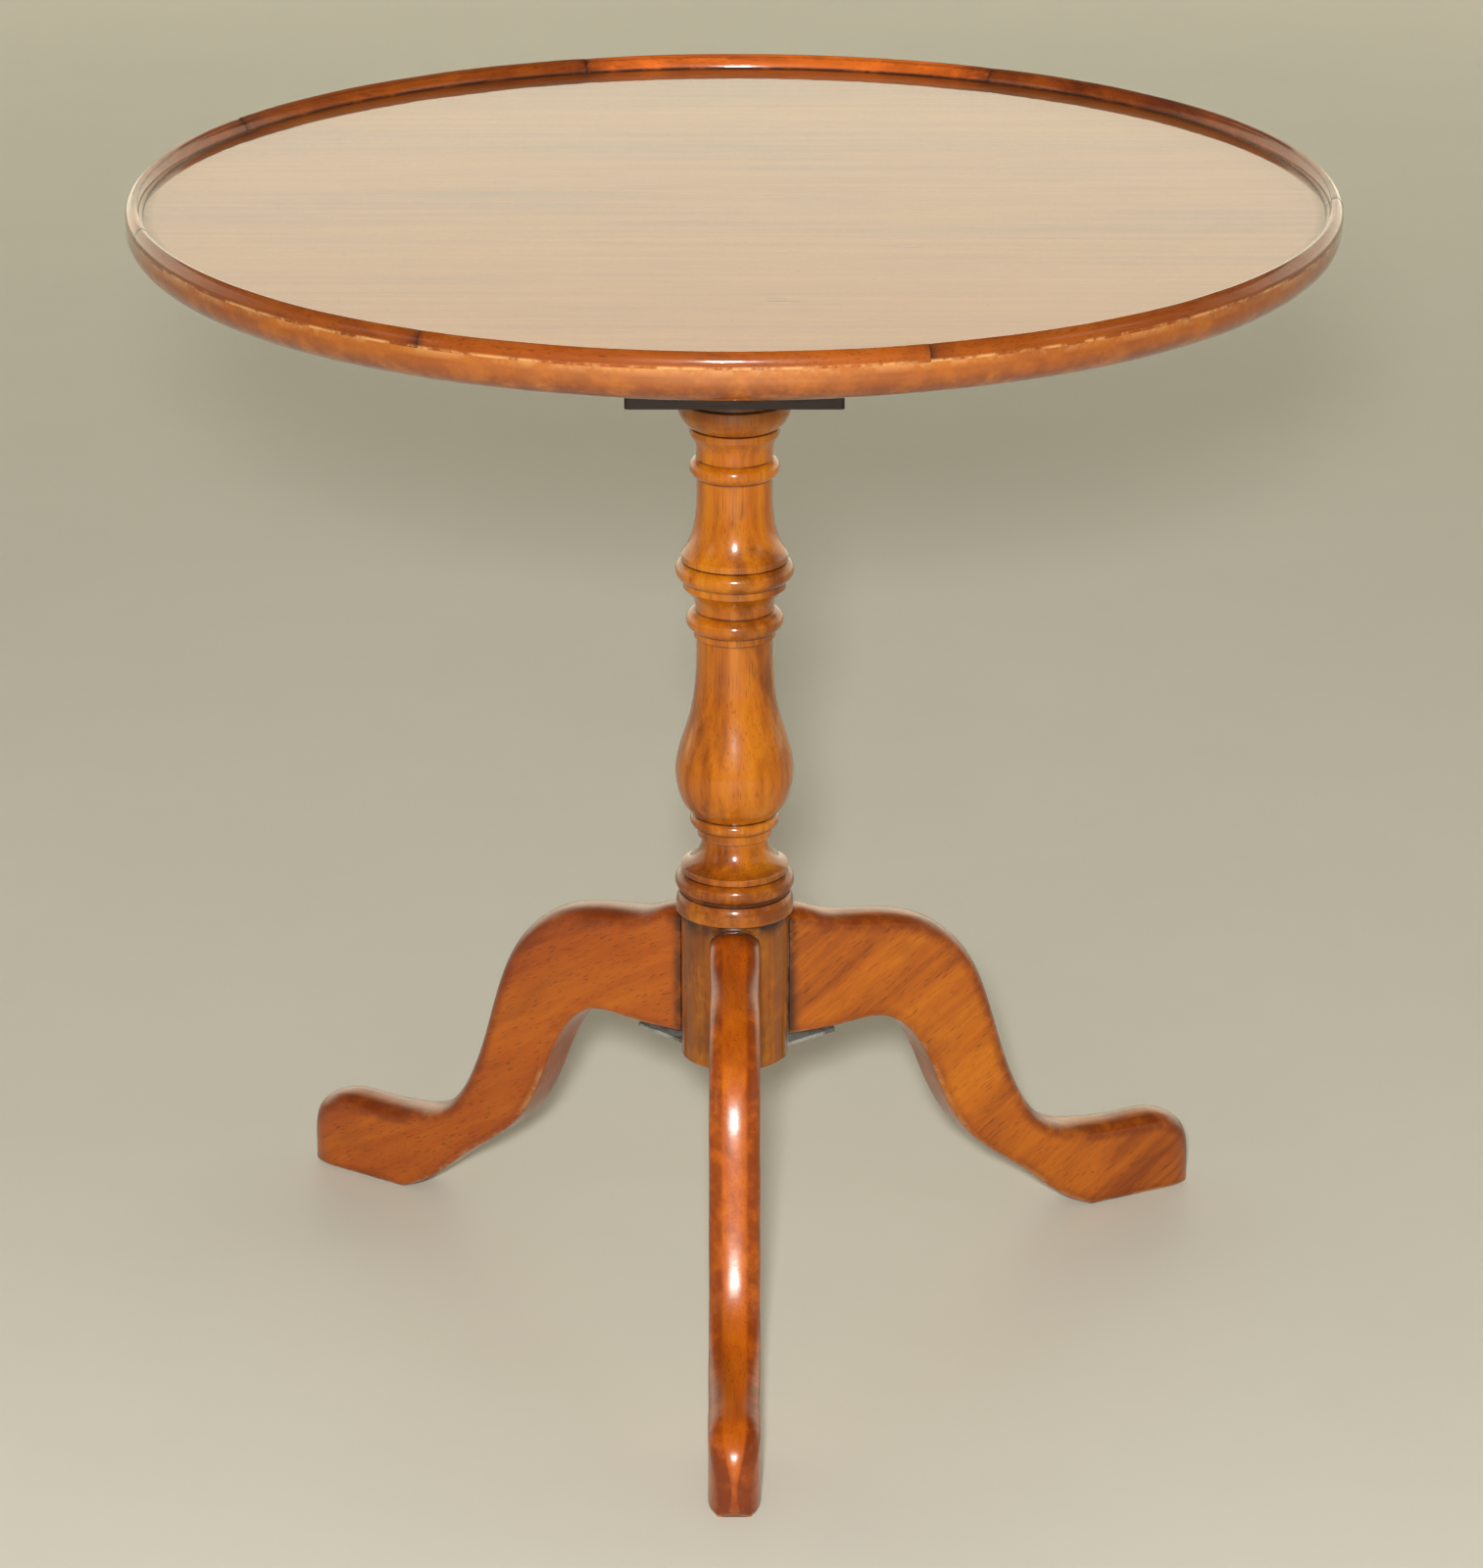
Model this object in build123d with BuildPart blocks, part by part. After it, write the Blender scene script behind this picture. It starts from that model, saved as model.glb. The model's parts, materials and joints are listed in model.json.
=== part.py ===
from build123d import *
from math import atan2, cos, degrees, radians, sin, sqrt
import os

# Tripod table with a round dished top that tips up on a birdcage, and turns on it.
# +Z is up and +X to the right. The front leg points along -Y.
# The origin is on the floor, on the column's axis.
# Bearings are angles in degrees about +Z, counted from +X towards +Y.

# ---------------------------------------------------------------- overall sizes
table_height = 731.6  # crest of the rim above the floor
top_diameter = 740.0
foot_reach = 343.0  # column axis to the tip of a foot

# ---------------------------------------------------------------- top
rim_height = 8.6  # crest of the rim above the dish floor
board_thickness = 23.0  # dish floor to underside
bullnose_width = 20.0  # the underside stands in from the edge by this much
bullnose_height = 17.0
rim_width = 10.8  # edge of the top to the foot of the rim's inner side
rebate_depth = 1.0  # the rim is let into the board by this much
rim_joint_gap = 0.3
rim_joint_bearings = (356.0, 62.0, 106.0, 150.5, 196.0, 241.75, 287.0)

# ---------------------------------------------------------------- bearers
bearer_width = 22.0
bearer_depth = 24.0
bearer_end_depth = 12.0
bearer_taper = 44.0
bearer_chamfer = 2.0
bearer_setback = 58.0  # end of a bearer to the edge of the board's flat underside
bearer_clearance = 1.0  # each side of the birdcage
bearer_screw_spacing = 170.0

# ---------------------------------------------------------------- birdcage
plate_width = 134.0
lower_plate_thickness = 16.0
upper_plate_thickness = 18.0
cage_opening = 56.0  # between the two plates
baluster_inset = 29.0  # baluster axis to the edge of a plate
baluster_radius = 11.5
baluster_tenon_radius = 6.0
baluster_tenon_length = 10.0
baluster_ring_height = 5.6
baluster_ring_waist = 9.8  # radius where a ring meets its plate
baluster_neck_radius = 7.1
baluster_neck_gap = 1.7  # ring to the narrowest place beside it
baluster_swell_height = 21.3  # widest place above the lower plate
baluster_slope_height = 34.7
baluster_slope_radius = 8.6
plate_corner_radius = 2.5
pivot_inset = 11.0  # pivot axis to the back edge of the upper plate
pivot_drop = 11.5  # pivot axis to the underside of the board
pivot_radius = 7.0
upper_plate_land = 4.0  # pivot axis to where the plate starts to round down
pivot_depth = 40.0  # of each pivot pin in the upper plate
pivot_shy = 2.0  # end of a pin to the outer face of its bearer

# ---------------------------------------------------------------- pintle, collar and wedge
pintle_radius = 16.5
pintle_length = 55.0
collar_ring_width = 9.0  # beyond the pintle
collar_ring_thickness = 8.0
collar_ring_lift = 0.3
collar_ring_chamfer = 1.2
wedge_thickness = 10.0
wedge_low_height = 12.0
wedge_high_height = 16.0
wedge_turning_gap = 8.0  # end of the wedge to a baluster that turns past it
wedge_slot_drop = 1.5  # the pintle's mortise starts below the wedge
pintle_chamfer = 2.0

# ---------------------------------------------------------------- column
drum_radius = 34.4
drum_bottom = 158.5
leg_rise = 253.5  # top of a leg's shoulder above the floor
leg_head_gap = 4.5  # top of a leg's shoulder to the column's collar
collar_radius = 37.8
collar_height = 12.6
collar_chamfer = 0.8
collar_band = 6.0  # the upright part of the collar, below its rounded shoulder

# ---------------------------------------------------------------- legs and brackets
leg_thickness = 32.0
leg_edge_radius = 9.0  # rounding of a leg's top edges
leg_bearings = {"front": 270.0, "right": 26.5, "left": 146.5}
sole_length = 76.0
toe_tip = 5.0  # foot tip to the end of the flat sole
flat_margin = 0.8  # each side of a leg on its flat of the drum
tenon_neck = 14.0
tenon_spread = 20.0
tenon_depth = 15.5
tenon_clearance = 0.1
tenon_overlap = 1.0  # the tenon runs on into the leg
tenon_bottom = 170.0
tenon_top = 240.0
bracket_thickness = 1.5
bracket_width = 28.0
bracket_arm_thickness = 2.5
bracket_arm_reach = 36.0
bracket_top = 250.0
bracket_bottom = 163.0  # upper side of the arm, at the drum
bracket_arm_rise = 4.0
bracket_screw_reach = 24.0  # drum's flat to the screw
bracket_screw_length = 18.0

# ---------------------------------------------------------------- catch
catch_drop = 9.0  # bolt axis below the board's underside
bolt_width = 12.0
bolt_height = 8.0
bolt_throw = 8.5  # bolt nose beyond the strike plate
bolt_length = 34.0
bolt_overdraw = 1.0  # nose behind the strike plate when the bolt is drawn back
bolt_stem_radius = 2.0
case_gap = 2.8  # case to strike plate
case_wall = 2.0
case_length = 47.0
case_cavity_width = 17.0
flange_thickness = 1.6
flange_width = 42.0
flange_corner_radius = 3.0
catch_screw_side = 5.5  # screw to the side of the flange
catch_screw_end = 7.0  # screw to the end of the flange
case_headroom = 1.0  # below the bolt
case_chamfer = 0.8
knob_radius = 5.0
knob_gap = 1.2  # below the case
knob_pin_depth = 6.0  # of the bolt that the knob's pin is let into
strike_thickness = 1.5
strike_width = 36.0
strike_height = 14.0
strike_corner_radius = 2.0
strike_screw_spacing = 25.0
strike_screw_length = 11.0
spring_wire_radius = 0.5
spring_radius = 3.4
spring_turns = 7
spring_end_gap = 0.2

# ---------------------------------------------------------------- screws and fits
wood_screw_radius = 2.2
small_screw_radius = 1.3
screw_slot_width = 0.8
screw_slot_depth = 0.6
running_clearance = 0.08  # radial, for what turns
glue_clearance = 0.05  # radial, for what is glued or driven in
slide_clearance = 0.4  # each side, for what slides
end_room = 1.0  # beyond the end of a screw, a pin or the bolt's throw
screw_bite = 9.3  # of a screw from below into the board

# ---------------------------------------------------------------- heights and radii that follow
edge_radius = top_diameter / 2
floor_height = table_height - rim_height
underside_height = floor_height - board_thickness
rebate_height = floor_height - rebate_depth
flat_underside_radius = edge_radius - bullnose_width
dish_radius = edge_radius - rim_width
upper_plate_bottom = underside_height - upper_plate_thickness
lower_plate_top = upper_plate_bottom - cage_opening
shoulder_height = lower_plate_top - lower_plate_thickness
half_plate = plate_width / 2
baluster_place = half_plate - baluster_inset
pivot_y = half_plate - pivot_inset
pivot_height = underside_height - pivot_drop
bearer_inner = half_plate + bearer_clearance
bearer_outer = bearer_inner + bearer_width
bearer_bottom = underside_height - bearer_depth
bearer_half_length = sqrt(flat_underside_radius**2 - bearer_outer**2) - bearer_setback
bearer_middle = (bearer_inner + bearer_outer) / 2
bearer_screw_places = (-bearer_screw_spacing, 0, bearer_screw_spacing)
drum_top = leg_rise + leg_head_gap
turning_bottom = drum_top + collar_height
flat_distance = sqrt(drum_radius**2 - (leg_thickness / 2 + flat_margin) ** 2)
shoulder_distance = flat_distance + bracket_thickness
bolt_height_mid = underside_height - catch_drop
strike_face = -half_plate - strike_thickness
case_front = strike_face - case_gap
case_back = case_front - case_length
bolt_nose = strike_face + bolt_throw
bolt_back = bolt_nose - bolt_length
knob_y = (case_front + bolt_back) / 2
case_middle = (case_front + case_back) / 2
catch_screw_grid = (flange_width - 2 * catch_screw_side, case_length - 2 * catch_screw_end)
screw_tip_height = underside_height + screw_bite

os.makedirs("parts", exist_ok=True)


def save(builder, name):
    """Labels a finished piece and writes its STEP file."""
    builder.part.label = name
    export_step(builder.part, f"parts/{name}.step")


def draw(steps, start):
    """Draws an outline inside a BuildLine. Each step is a line's end, or the points of an arc or a curve."""
    here = start
    for kind, *points in steps:
        if kind == "line":
            Line(here, points[0])
        elif kind == "arc":
            ThreePointArc(here, points[0], points[1])
        else:
            Spline(here, *points)
        here = points[-1]
    return here


def radial_plane(bearing):
    """The upright plane through the column's axis, with x outwards at this bearing and y up."""
    out = (cos(radians(bearing)), sin(radians(bearing)), 0)
    across = (sin(radians(bearing)), -cos(radians(bearing)), 0)
    return Plane(origin=(0, 0, 0), x_dir=out, z_dir=across)


def level_plane(bearing, height):
    """The level plane at this height, with x outwards at this bearing."""
    out = (cos(radians(bearing)), sin(radians(bearing)), 0)
    return Plane(origin=(0, 0, height), x_dir=out, z_dir=(0, 0, 1))


# ================================================================ the top
# The board is turned in one: a flat floor, a shallow rebate round it that seats the rim, and a bullnosed edge
# that rolls under to a flat underside.
with BuildPart() as board:
    with BuildSketch(Plane.XZ):
        with BuildLine():
            EllipticalCenterArc(
                (flat_underside_radius, underside_height + bullnose_height),
                bullnose_width,
                bullnose_height,
                start_angle=-90,
                arc_size=90,
            )
            Polyline(
                (edge_radius, underside_height + bullnose_height),
                (edge_radius, rebate_height),
                (dish_radius, rebate_height),
                (dish_radius, floor_height),
                (0, floor_height),
                (0, underside_height),
                (flat_underside_radius, underside_height),
            )
        make_face()
    revolve(axis=Axis.Z)
    with BuildSketch(Plane.XY.offset(underside_height)):
        for side in (-1, 1):
            with Locations(*[(side * bearer_middle, y) for y in bearer_screw_places]):
                Circle(wood_screw_radius + glue_clearance)
    extrude(amount=screw_tip_height - underside_height, mode=Mode.SUBTRACT)
    with BuildSketch(Plane.XY.offset(underside_height)):
        with Locations((0, case_middle)):
            with GridLocations(*catch_screw_grid, 2, 2):
                Circle(small_screw_radius + glue_clearance)
    extrude(amount=screw_tip_height - underside_height, mode=Mode.SUBTRACT)
save(board, "board")


def rim_point(inset, drop):
    """A point of the rim's section, measured in from the edge of the top and down from its crest."""
    return (edge_radius - inset, table_height - drop)


# The rim's section: a rounded outer side, a narrow crest, and a steep inner side down to the dish floor.
rim_depth = rim_height + rebate_depth
rim_start = rim_point(0, rim_depth)
rim_section = [
    ("arc", rim_point(1.1, 2.8), rim_point(4.0, 0)),
    ("arc", rim_point(5.6, 0.35), rim_point(7.2, 1.2)),
    ("arc", rim_point(9.3, 4.4), rim_point(rim_width, rim_height)),
    ("line", rim_point(rim_width, rim_depth)),
]


def make_rim_segment(number):
    """One bent length of the rim, from one butt joint to the next."""
    first = rim_joint_bearings[number]
    last = rim_joint_bearings[(number + 1) % len(rim_joint_bearings)]
    gap = degrees(rim_joint_gap / edge_radius)
    sweep_angle = (last - first) % 360 - gap
    with BuildPart() as segment:
        with BuildSketch(radial_plane(first + gap / 2)):
            with BuildLine():
                end = draw(rim_section, rim_start)
                Line(end, rim_start)
            make_face()
        revolve(axis=Axis.Z, revolution_arc=sweep_angle)
    save(segment, f"rim_segment_{number + 1}")


for number in range(len(rim_joint_bearings)):
    make_rim_segment(number)


def make_bearer(name, side):
    """A cleat under the board, tapered at both ends and bored for its pivot pin."""
    inner = side * bearer_inner
    end = bearer_half_length
    with BuildPart() as bearer:
        with BuildSketch(Plane.YZ.offset(inner)):
            with BuildLine():
                Polyline(
                    (-end, underside_height),
                    (end, underside_height),
                    (end, underside_height - bearer_end_depth),
                    (end - bearer_taper, bearer_bottom),
                    (bearer_taper - end, bearer_bottom),
                    (-end, underside_height - bearer_end_depth),
                    close=True,
                )
            make_face()
        extrude(amount=side * bearer_width)
        low_edges = bearer.edges().filter_by(Axis.Y).group_by(Axis.Z)[0]
        chamfer(low_edges, bearer_chamfer)
        with BuildSketch(Plane.YZ.offset(inner)):
            with Locations((pivot_y, pivot_height)):
                Circle(pivot_radius + running_clearance)
        extrude(amount=side * bearer_width, mode=Mode.SUBTRACT)
        with Locations(*[(side * bearer_middle, y, bearer_bottom) for y in bearer_screw_places]):
            with Locations(Rotation(180, 0, 0)):
                CounterSinkHole(
                    radius=wood_screw_radius + glue_clearance,
                    counter_sink_radius=2 * wood_screw_radius + glue_clearance,
                    depth=bearer_depth,
                )
    save(bearer, name)


make_bearer("bearer_left", -1)
make_bearer("bearer_right", 1)


def make_screws(name, heads, shank_radius, length):
    """Slotted countersunk screws in one node. Each plane's origin is the middle of a head, it points along the
    shank, and its x axis runs along the slot."""
    head_radius = 2 * shank_radius
    with BuildPart() as screws:
        for head in heads:
            with BuildSketch(head):
                Circle(head_radius)
            extrude(amount=head_radius - shank_radius, taper=45)
            with BuildSketch(head):
                Circle(shank_radius)
            extrude(amount=length - shank_radius)
            with BuildSketch(head.offset(length - shank_radius)):
                Circle(shank_radius)
            extrude(amount=shank_radius, taper=40)
            with BuildSketch(head):
                Rectangle(2 * head_radius, screw_slot_width)
            extrude(amount=screw_slot_depth, mode=Mode.SUBTRACT)
    save(screws, name)


make_screws(
    "bearer_screws",
    [
        Plane(origin=(side * bearer_middle, place, bearer_bottom), x_dir=(cos(place), sin(place), 0))
        for side in (-1, 1)
        for place in bearer_screw_places
    ],
    wood_screw_radius,
    screw_tip_height - bearer_bottom - wood_screw_radius,
)

# ================================================================ the birdcage
baluster_places = [(x * baluster_place, y * baluster_place) for x in (-1, 1) for y in (-1, 1)]

# The lower plate turns on the pintle and rests on the column's shoulder.
with BuildPart() as lower_plate:
    with BuildSketch(Plane.XY.offset(shoulder_height)):
        RectangleRounded(plate_width, plate_width, plate_corner_radius)
        Circle(pintle_radius + running_clearance, mode=Mode.SUBTRACT)
    extrude(amount=lower_plate_thickness)
    with BuildSketch(Plane.XY.offset(lower_plate_top)):
        with Locations(*baluster_places):
            Circle(baluster_tenon_radius + glue_clearance)
    extrude(amount=-baluster_tenon_length, mode=Mode.SUBTRACT)
save(lower_plate, "lower_plate")

# The upper plate carries the pivots along its back edge, which is rounded about them so that the board clears
# it. Its front edge has the mortise that the catch's bolt shoots into.
with BuildPart() as upper_plate:
    with BuildSketch(Plane.YZ.offset(-half_plate)):
        with BuildLine():
            end = draw(
                [
                    ("line", (-half_plate, underside_height)),
                    ("line", (pivot_y - upper_plate_land, underside_height)),
                    ("line", (pivot_y, pivot_height + pivot_inset)),
                    (
                        "arc",
                        (
                            pivot_y + pivot_inset * cos(radians(45)),
                            pivot_height + pivot_inset * sin(radians(45)),
                        ),
                        (half_plate, pivot_height),
                    ),
                    ("line", (half_plate, upper_plate_bottom)),
                ],
                (-half_plate, upper_plate_bottom),
            )
            Line(end, (-half_plate, upper_plate_bottom))
        make_face()
    extrude(amount=plate_width)
    with BuildSketch(Plane.XY.offset(upper_plate_bottom)):
        with Locations(*baluster_places):
            Circle(baluster_tenon_radius + glue_clearance)
    extrude(amount=baluster_tenon_length, mode=Mode.SUBTRACT)
    for side in (-1, 1):
        with BuildSketch(Plane.YZ.offset(side * half_plate)):
            with Locations((pivot_y, pivot_height)):
                Circle(pivot_radius + glue_clearance)
        extrude(amount=-side * pivot_depth, mode=Mode.SUBTRACT)
    with BuildSketch(Plane.XZ.offset(half_plate)):
        with Locations((0, bolt_height_mid)):
            Rectangle(bolt_width + 2 * slide_clearance, bolt_height + 2 * slide_clearance)
    extrude(amount=-bolt_throw - end_room, mode=Mode.SUBTRACT)
    with BuildSketch(Plane.XZ.offset(half_plate)):
        with Locations((0, bolt_height_mid)):
            with GridLocations(strike_screw_spacing, 1, 2, 1):
                Circle(small_screw_radius + glue_clearance)
    extrude(amount=strike_thickness - strike_screw_length - end_room, mode=Mode.SUBTRACT)
save(upper_plate, "upper_plate")


def make_baluster(number, place):
    """A small turned baluster with a tenon at each end, between the two plates."""
    low = lower_plate_top
    high = upper_plate_bottom
    low_ring = low + baluster_ring_height
    high_ring = high - baluster_ring_height
    outline = [
        ("line", (baluster_tenon_radius, low - baluster_tenon_length)),
        ("line", (baluster_tenon_radius, low)),
        ("line", (baluster_ring_waist, low)),
        ("arc", (baluster_radius, (low + low_ring) / 2), (baluster_ring_waist, low_ring)),
        ("line", (baluster_neck_radius, low_ring + baluster_neck_gap)),
        (
            "curve",
            (baluster_radius, low + baluster_swell_height),
            (baluster_slope_radius, low + baluster_slope_height),
            (baluster_neck_radius, high_ring - baluster_neck_gap),
        ),
        ("line", (baluster_ring_waist, high_ring)),
        ("arc", (baluster_radius, (high + high_ring) / 2), (baluster_ring_waist, high)),
        ("line", (baluster_tenon_radius, high)),
        ("line", (baluster_tenon_radius, high + baluster_tenon_length)),
        ("line", (0, high + baluster_tenon_length)),
        ("line", (0, low - baluster_tenon_length)),
    ]
    with BuildPart() as baluster:
        with BuildSketch(Plane(origin=(*place, 0), x_dir=(1, 0, 0), z_dir=(0, -1, 0))):
            with BuildLine():
                draw(outline, (0, low - baluster_tenon_length))
            make_face()
        revolve(axis=Axis((place[0], place[1], 0), (0, 0, 1)))
    save(baluster, f"baluster_{number}")


for number, place in enumerate(baluster_places, start=1):
    make_baluster(number, place)

with BuildPart() as pivot_pins:
    for side in (-1, 1):
        with BuildSketch(Plane.YZ.offset(side * (half_plate - pivot_depth + end_room))):
            with Locations((pivot_y, pivot_height)):
                Circle(pivot_radius)
        extrude(amount=side * (pivot_depth - end_room + bearer_clearance + bearer_width - pivot_shy))
save(pivot_pins, "pivot_pins")

# The collar rides on the lower plate, and the wedge through the pintle holds it down.
wedge_bottom = lower_plate_top + collar_ring_lift + collar_ring_thickness
baluster_circle = sqrt(2) * baluster_place
wedge_half_length = baluster_circle - baluster_radius - wedge_turning_gap
wedge_outline = [
    (-wedge_half_length, wedge_bottom),
    (wedge_half_length, wedge_bottom),
    (wedge_half_length, wedge_bottom + wedge_low_height),
    (-wedge_half_length, wedge_bottom + wedge_high_height),
]

with BuildPart() as cage_collar:
    with BuildSketch(Plane.XY.offset(lower_plate_top + collar_ring_lift)):
        Circle(pintle_radius + collar_ring_width)
        Circle(pintle_radius + running_clearance, mode=Mode.SUBTRACT)
    extrude(amount=collar_ring_thickness)
    rims = cage_collar.edges().filter_by(GeomType.CIRCLE).group_by(SortBy.RADIUS)[-1]
    chamfer(rims, collar_ring_chamfer)
save(cage_collar, "cage_collar")

with BuildPart() as wedge:
    with BuildSketch(Plane.XZ.offset(-wedge_thickness / 2)):
        with BuildLine():
            Polyline(*wedge_outline, close=True)
        make_face()
    extrude(amount=wedge_thickness)
save(wedge, "wedge")

# ================================================================ the column
# The turner's pattern, as radius and height above the collar. It is stretched to the length between the
# collar and the shoulder under the birdcage.
pattern_length = 339.4
pattern_stretch = (shoulder_height - turning_bottom) / pattern_length
turned_pattern = [
    ("line", (34.5, 2.2)),
    ("arc", (38.3, 8.4), (34.6, 14.1)),
    ("line", (34.0, 14.5)),
    ("line", (34.4, 14.9)),
    ("line", (34.4, 18.8)),
    ("curve", (30.0, 20.6), (26.0, 24.0), (23.0, 29.0), (21.5, 33.8), (21.0, 38.2)),
    ("line", (24.0, 39.0)),
    ("line", (24.3, 44.8)),
    ("arc", (28.8, 49.4), (26.6, 53.4)),
    ("line", (26.8, 53.8)),
    ("curve", (32.4, 60.4), (36.4, 70.7), (37.9, 82.2), (35.8, 96.4), (28.8, 120.4), (25.2, 143.4), (24.4, 172)),
    ("line", (26.0, 172.6)),
    ("line", (26.2, 177.0)),
    ("arc", (30.9, 183.4), (25.0, 189.6)),
    ("curve", (25.3, 194.2), (27.6, 199.6), (31.6, 204.2)),
    ("line", (32.6, 205.1)),
    ("line", (32.6, 209.8)),
    ("arc", (37.5, 216.4), (33.0, 222.6)),
    ("line", (33.7, 223.0)),
    ("line", (33.7, 226.7)),
    ("curve", (30.4, 232.0), (26.9, 240.4), (24.7, 252.4), (24.1, 265.2), (24.0, 277.0)),
    ("arc", (28.4, 283.4), (24.4, 289.0)),
    ("curve", (24.2, 293.2), (25.0, 298.6), (28.0, 304.4)),
    ("line", (28.5, 305.4)),
    ("line", (28.5, 308.8)),
    ("line", (27.6, 309.4)),
    ("arc", (32.4, 313.6), (35.3, 320.4)),
    ("line", (35.3, 326.2)),
    ("line", (34.0, 327.4)),
    ("line", (34.0, pattern_length)),
]


def turned(point):
    """A point of the turner's pattern, put at its real height."""
    radius, height = point
    return (radius, turning_bottom + height * pattern_stretch)


with BuildPart() as column:
    with BuildSketch(Plane.XZ):
        with BuildLine():
            top_of_pattern = draw(
                [
                    ("line", (drum_radius, drum_bottom)),
                    ("line", (drum_radius, drum_top)),
                    ("line", (collar_radius - collar_chamfer, drum_top)),
                    ("line", (collar_radius, drum_top + collar_chamfer)),
                    ("line", (collar_radius, drum_top + collar_band)),
                    ("arc", turned((37.3, -2.6)), turned((35.6, 0))),
                    ("line", turned((34.3, 0))),
                    *[(kind, *[turned(point) for point in points]) for kind, *points in turned_pattern],
                    ("line", (pintle_radius, shoulder_height)),
                    ("line", (pintle_radius, shoulder_height + pintle_length - pintle_chamfer)),
                    ("line", (pintle_radius - pintle_chamfer, shoulder_height + pintle_length)),
                    ("line", (0, shoulder_height + pintle_length)),
                ],
                (0, drum_bottom),
            )
            Line(top_of_pattern, (0, drum_bottom))
        make_face()
    revolve(axis=Axis.Z)
    # Three flats for the legs' shoulders, and a dovetail slot up from the bottom in each.
    for bearing in leg_bearings.values():
        with BuildSketch(level_plane(bearing, drum_bottom)):
            with Locations((flat_distance, 0)):
                Rectangle(drum_radius, 3 * drum_radius, align=(Align.MIN, Align.CENTER))
        extrude(amount=drum_top - drum_bottom, mode=Mode.SUBTRACT)
    for bearing in leg_bearings.values():
        with BuildSketch(level_plane(bearing, drum_bottom)):
            neck = tenon_neck / 2 + tenon_clearance
            spread = tenon_spread / 2 + tenon_clearance
            depth = flat_distance - tenon_depth - tenon_clearance
            mouth = flat_distance + bracket_thickness
            with BuildLine():
                Polyline((mouth, -neck), (depth, -spread), (depth, spread), (mouth, neck), close=True)
            make_face()
        extrude(amount=tenon_top + slide_clearance - drum_bottom, mode=Mode.SUBTRACT)
    # The mortise through the pintle takes the wedge, with room below for the collar to be drawn down.
    with BuildSketch(Plane.XZ.offset(-wedge_thickness / 2 - slide_clearance / 4)):
        with BuildLine():
            Polyline(
                (-wedge_half_length, wedge_bottom - wedge_slot_drop),
                (wedge_half_length, wedge_bottom - wedge_slot_drop),
                *wedge_outline[2:],
                close=True,
            )
        make_face()
    extrude(amount=wedge_thickness + slide_clearance / 2, mode=Mode.SUBTRACT)
save(column, "column")

# ================================================================ legs and brackets
# The leg's pattern, as distance out from the column's axis and height. It is stretched between the shoulder
# and the foot's tip, and up to the shoulder's top.
pattern_reach = 343.0
pattern_shoulder = 31.5
pattern_rise = 253.5


def leg_point(out, up):
    """A point of the leg's pattern, put at its real place."""
    share = (out - pattern_shoulder) / (pattern_reach - pattern_shoulder)
    return (shoulder_distance + share * (foot_reach - shoulder_distance), up * leg_rise / pattern_rise)


leg_top_curve = [
    leg_point(46, 252.5),
    leg_point(64, 246),
    leg_point(100, 239),
    leg_point(138, 228),
    leg_point(168, 199),
    leg_point(186, 156),
    leg_point(205, 101),
    leg_point(229, 68),
    leg_point(262, 57),
    leg_point(298, 55.5),
    leg_point(321, 53.5),
    leg_point(336, 44),
    leg_point(342.2, 30),
    leg_point(343, 16),
    leg_point(341.4, 6),
    (foot_reach - toe_tip, 0),
]
sole_start = (foot_reach - toe_tip - sole_length, 0)
leg_under_curve = [
    leg_point(246, 8),
    leg_point(207, 39),
    leg_point(167, 72),
    leg_point(145, 110),
    leg_point(127, 148),
    leg_point(104, 167.5),
    leg_point(72, 168.5),
    leg_point(31.5, 169),
]


def bracket_screw_plane(bearing):
    """The plane of a bracket screw's head, on the lower side of the arm and square to it."""
    slope = degrees(atan2(bracket_arm_rise, bracket_arm_reach - bracket_thickness))
    reach = flat_distance + bracket_screw_reach
    rise = bracket_arm_rise * bracket_screw_reach / bracket_arm_reach
    height = bracket_bottom - bracket_arm_thickness + rise
    out = Vector(cos(radians(bearing)), sin(radians(bearing)), 0)
    across = Vector(-sin(radians(bearing)), cos(radians(bearing)), 0)
    up = Vector(0, 0, 1) * cos(radians(slope)) - out * sin(radians(slope))
    return Plane(origin=out * reach + Vector(0, 0, height), x_dir=across, z_dir=up)


def make_leg(name, bearing):
    """A sawn cabriole leg with a pad foot, rounded along its top edges, and its dovetail tenon."""
    with BuildPart() as leg:
        with BuildSketch(radial_plane(bearing).offset(-leg_thickness / 2)):
            with BuildLine():
                end = draw(
                    [
                        ("curve", *leg_top_curve),
                        ("line", sole_start),
                        ("curve", *leg_under_curve),
                    ],
                    (shoulder_distance, leg_rise),
                )
                Line(end, (shoulder_distance, leg_rise))
            make_face()
        extrude(amount=leg_thickness)
        top_edges = leg.edges().group_by(SortBy.LENGTH)[-1]
        fillet(top_edges, leg_edge_radius)
        with BuildSketch(level_plane(bearing, tenon_bottom)):
            neck = tenon_neck / 2
            spread = tenon_spread / 2
            depth = flat_distance - tenon_depth
            with BuildLine():
                Polyline(
                    (shoulder_distance + tenon_overlap, -neck),
                    (flat_distance, -neck),
                    (depth, -spread),
                    (depth, spread),
                    (flat_distance, neck),
                    (shoulder_distance + tenon_overlap, neck),
                    close=True,
                )
            make_face()
        extrude(amount=tenon_top - tenon_bottom)
        with BuildSketch(bracket_screw_plane(bearing)):
            Circle(small_screw_radius + glue_clearance)
        extrude(amount=bracket_screw_length + end_room, mode=Mode.SUBTRACT)
    save(leg, name)


for side, bearing in leg_bearings.items():
    make_leg(f"leg_{side}", bearing)


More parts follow.
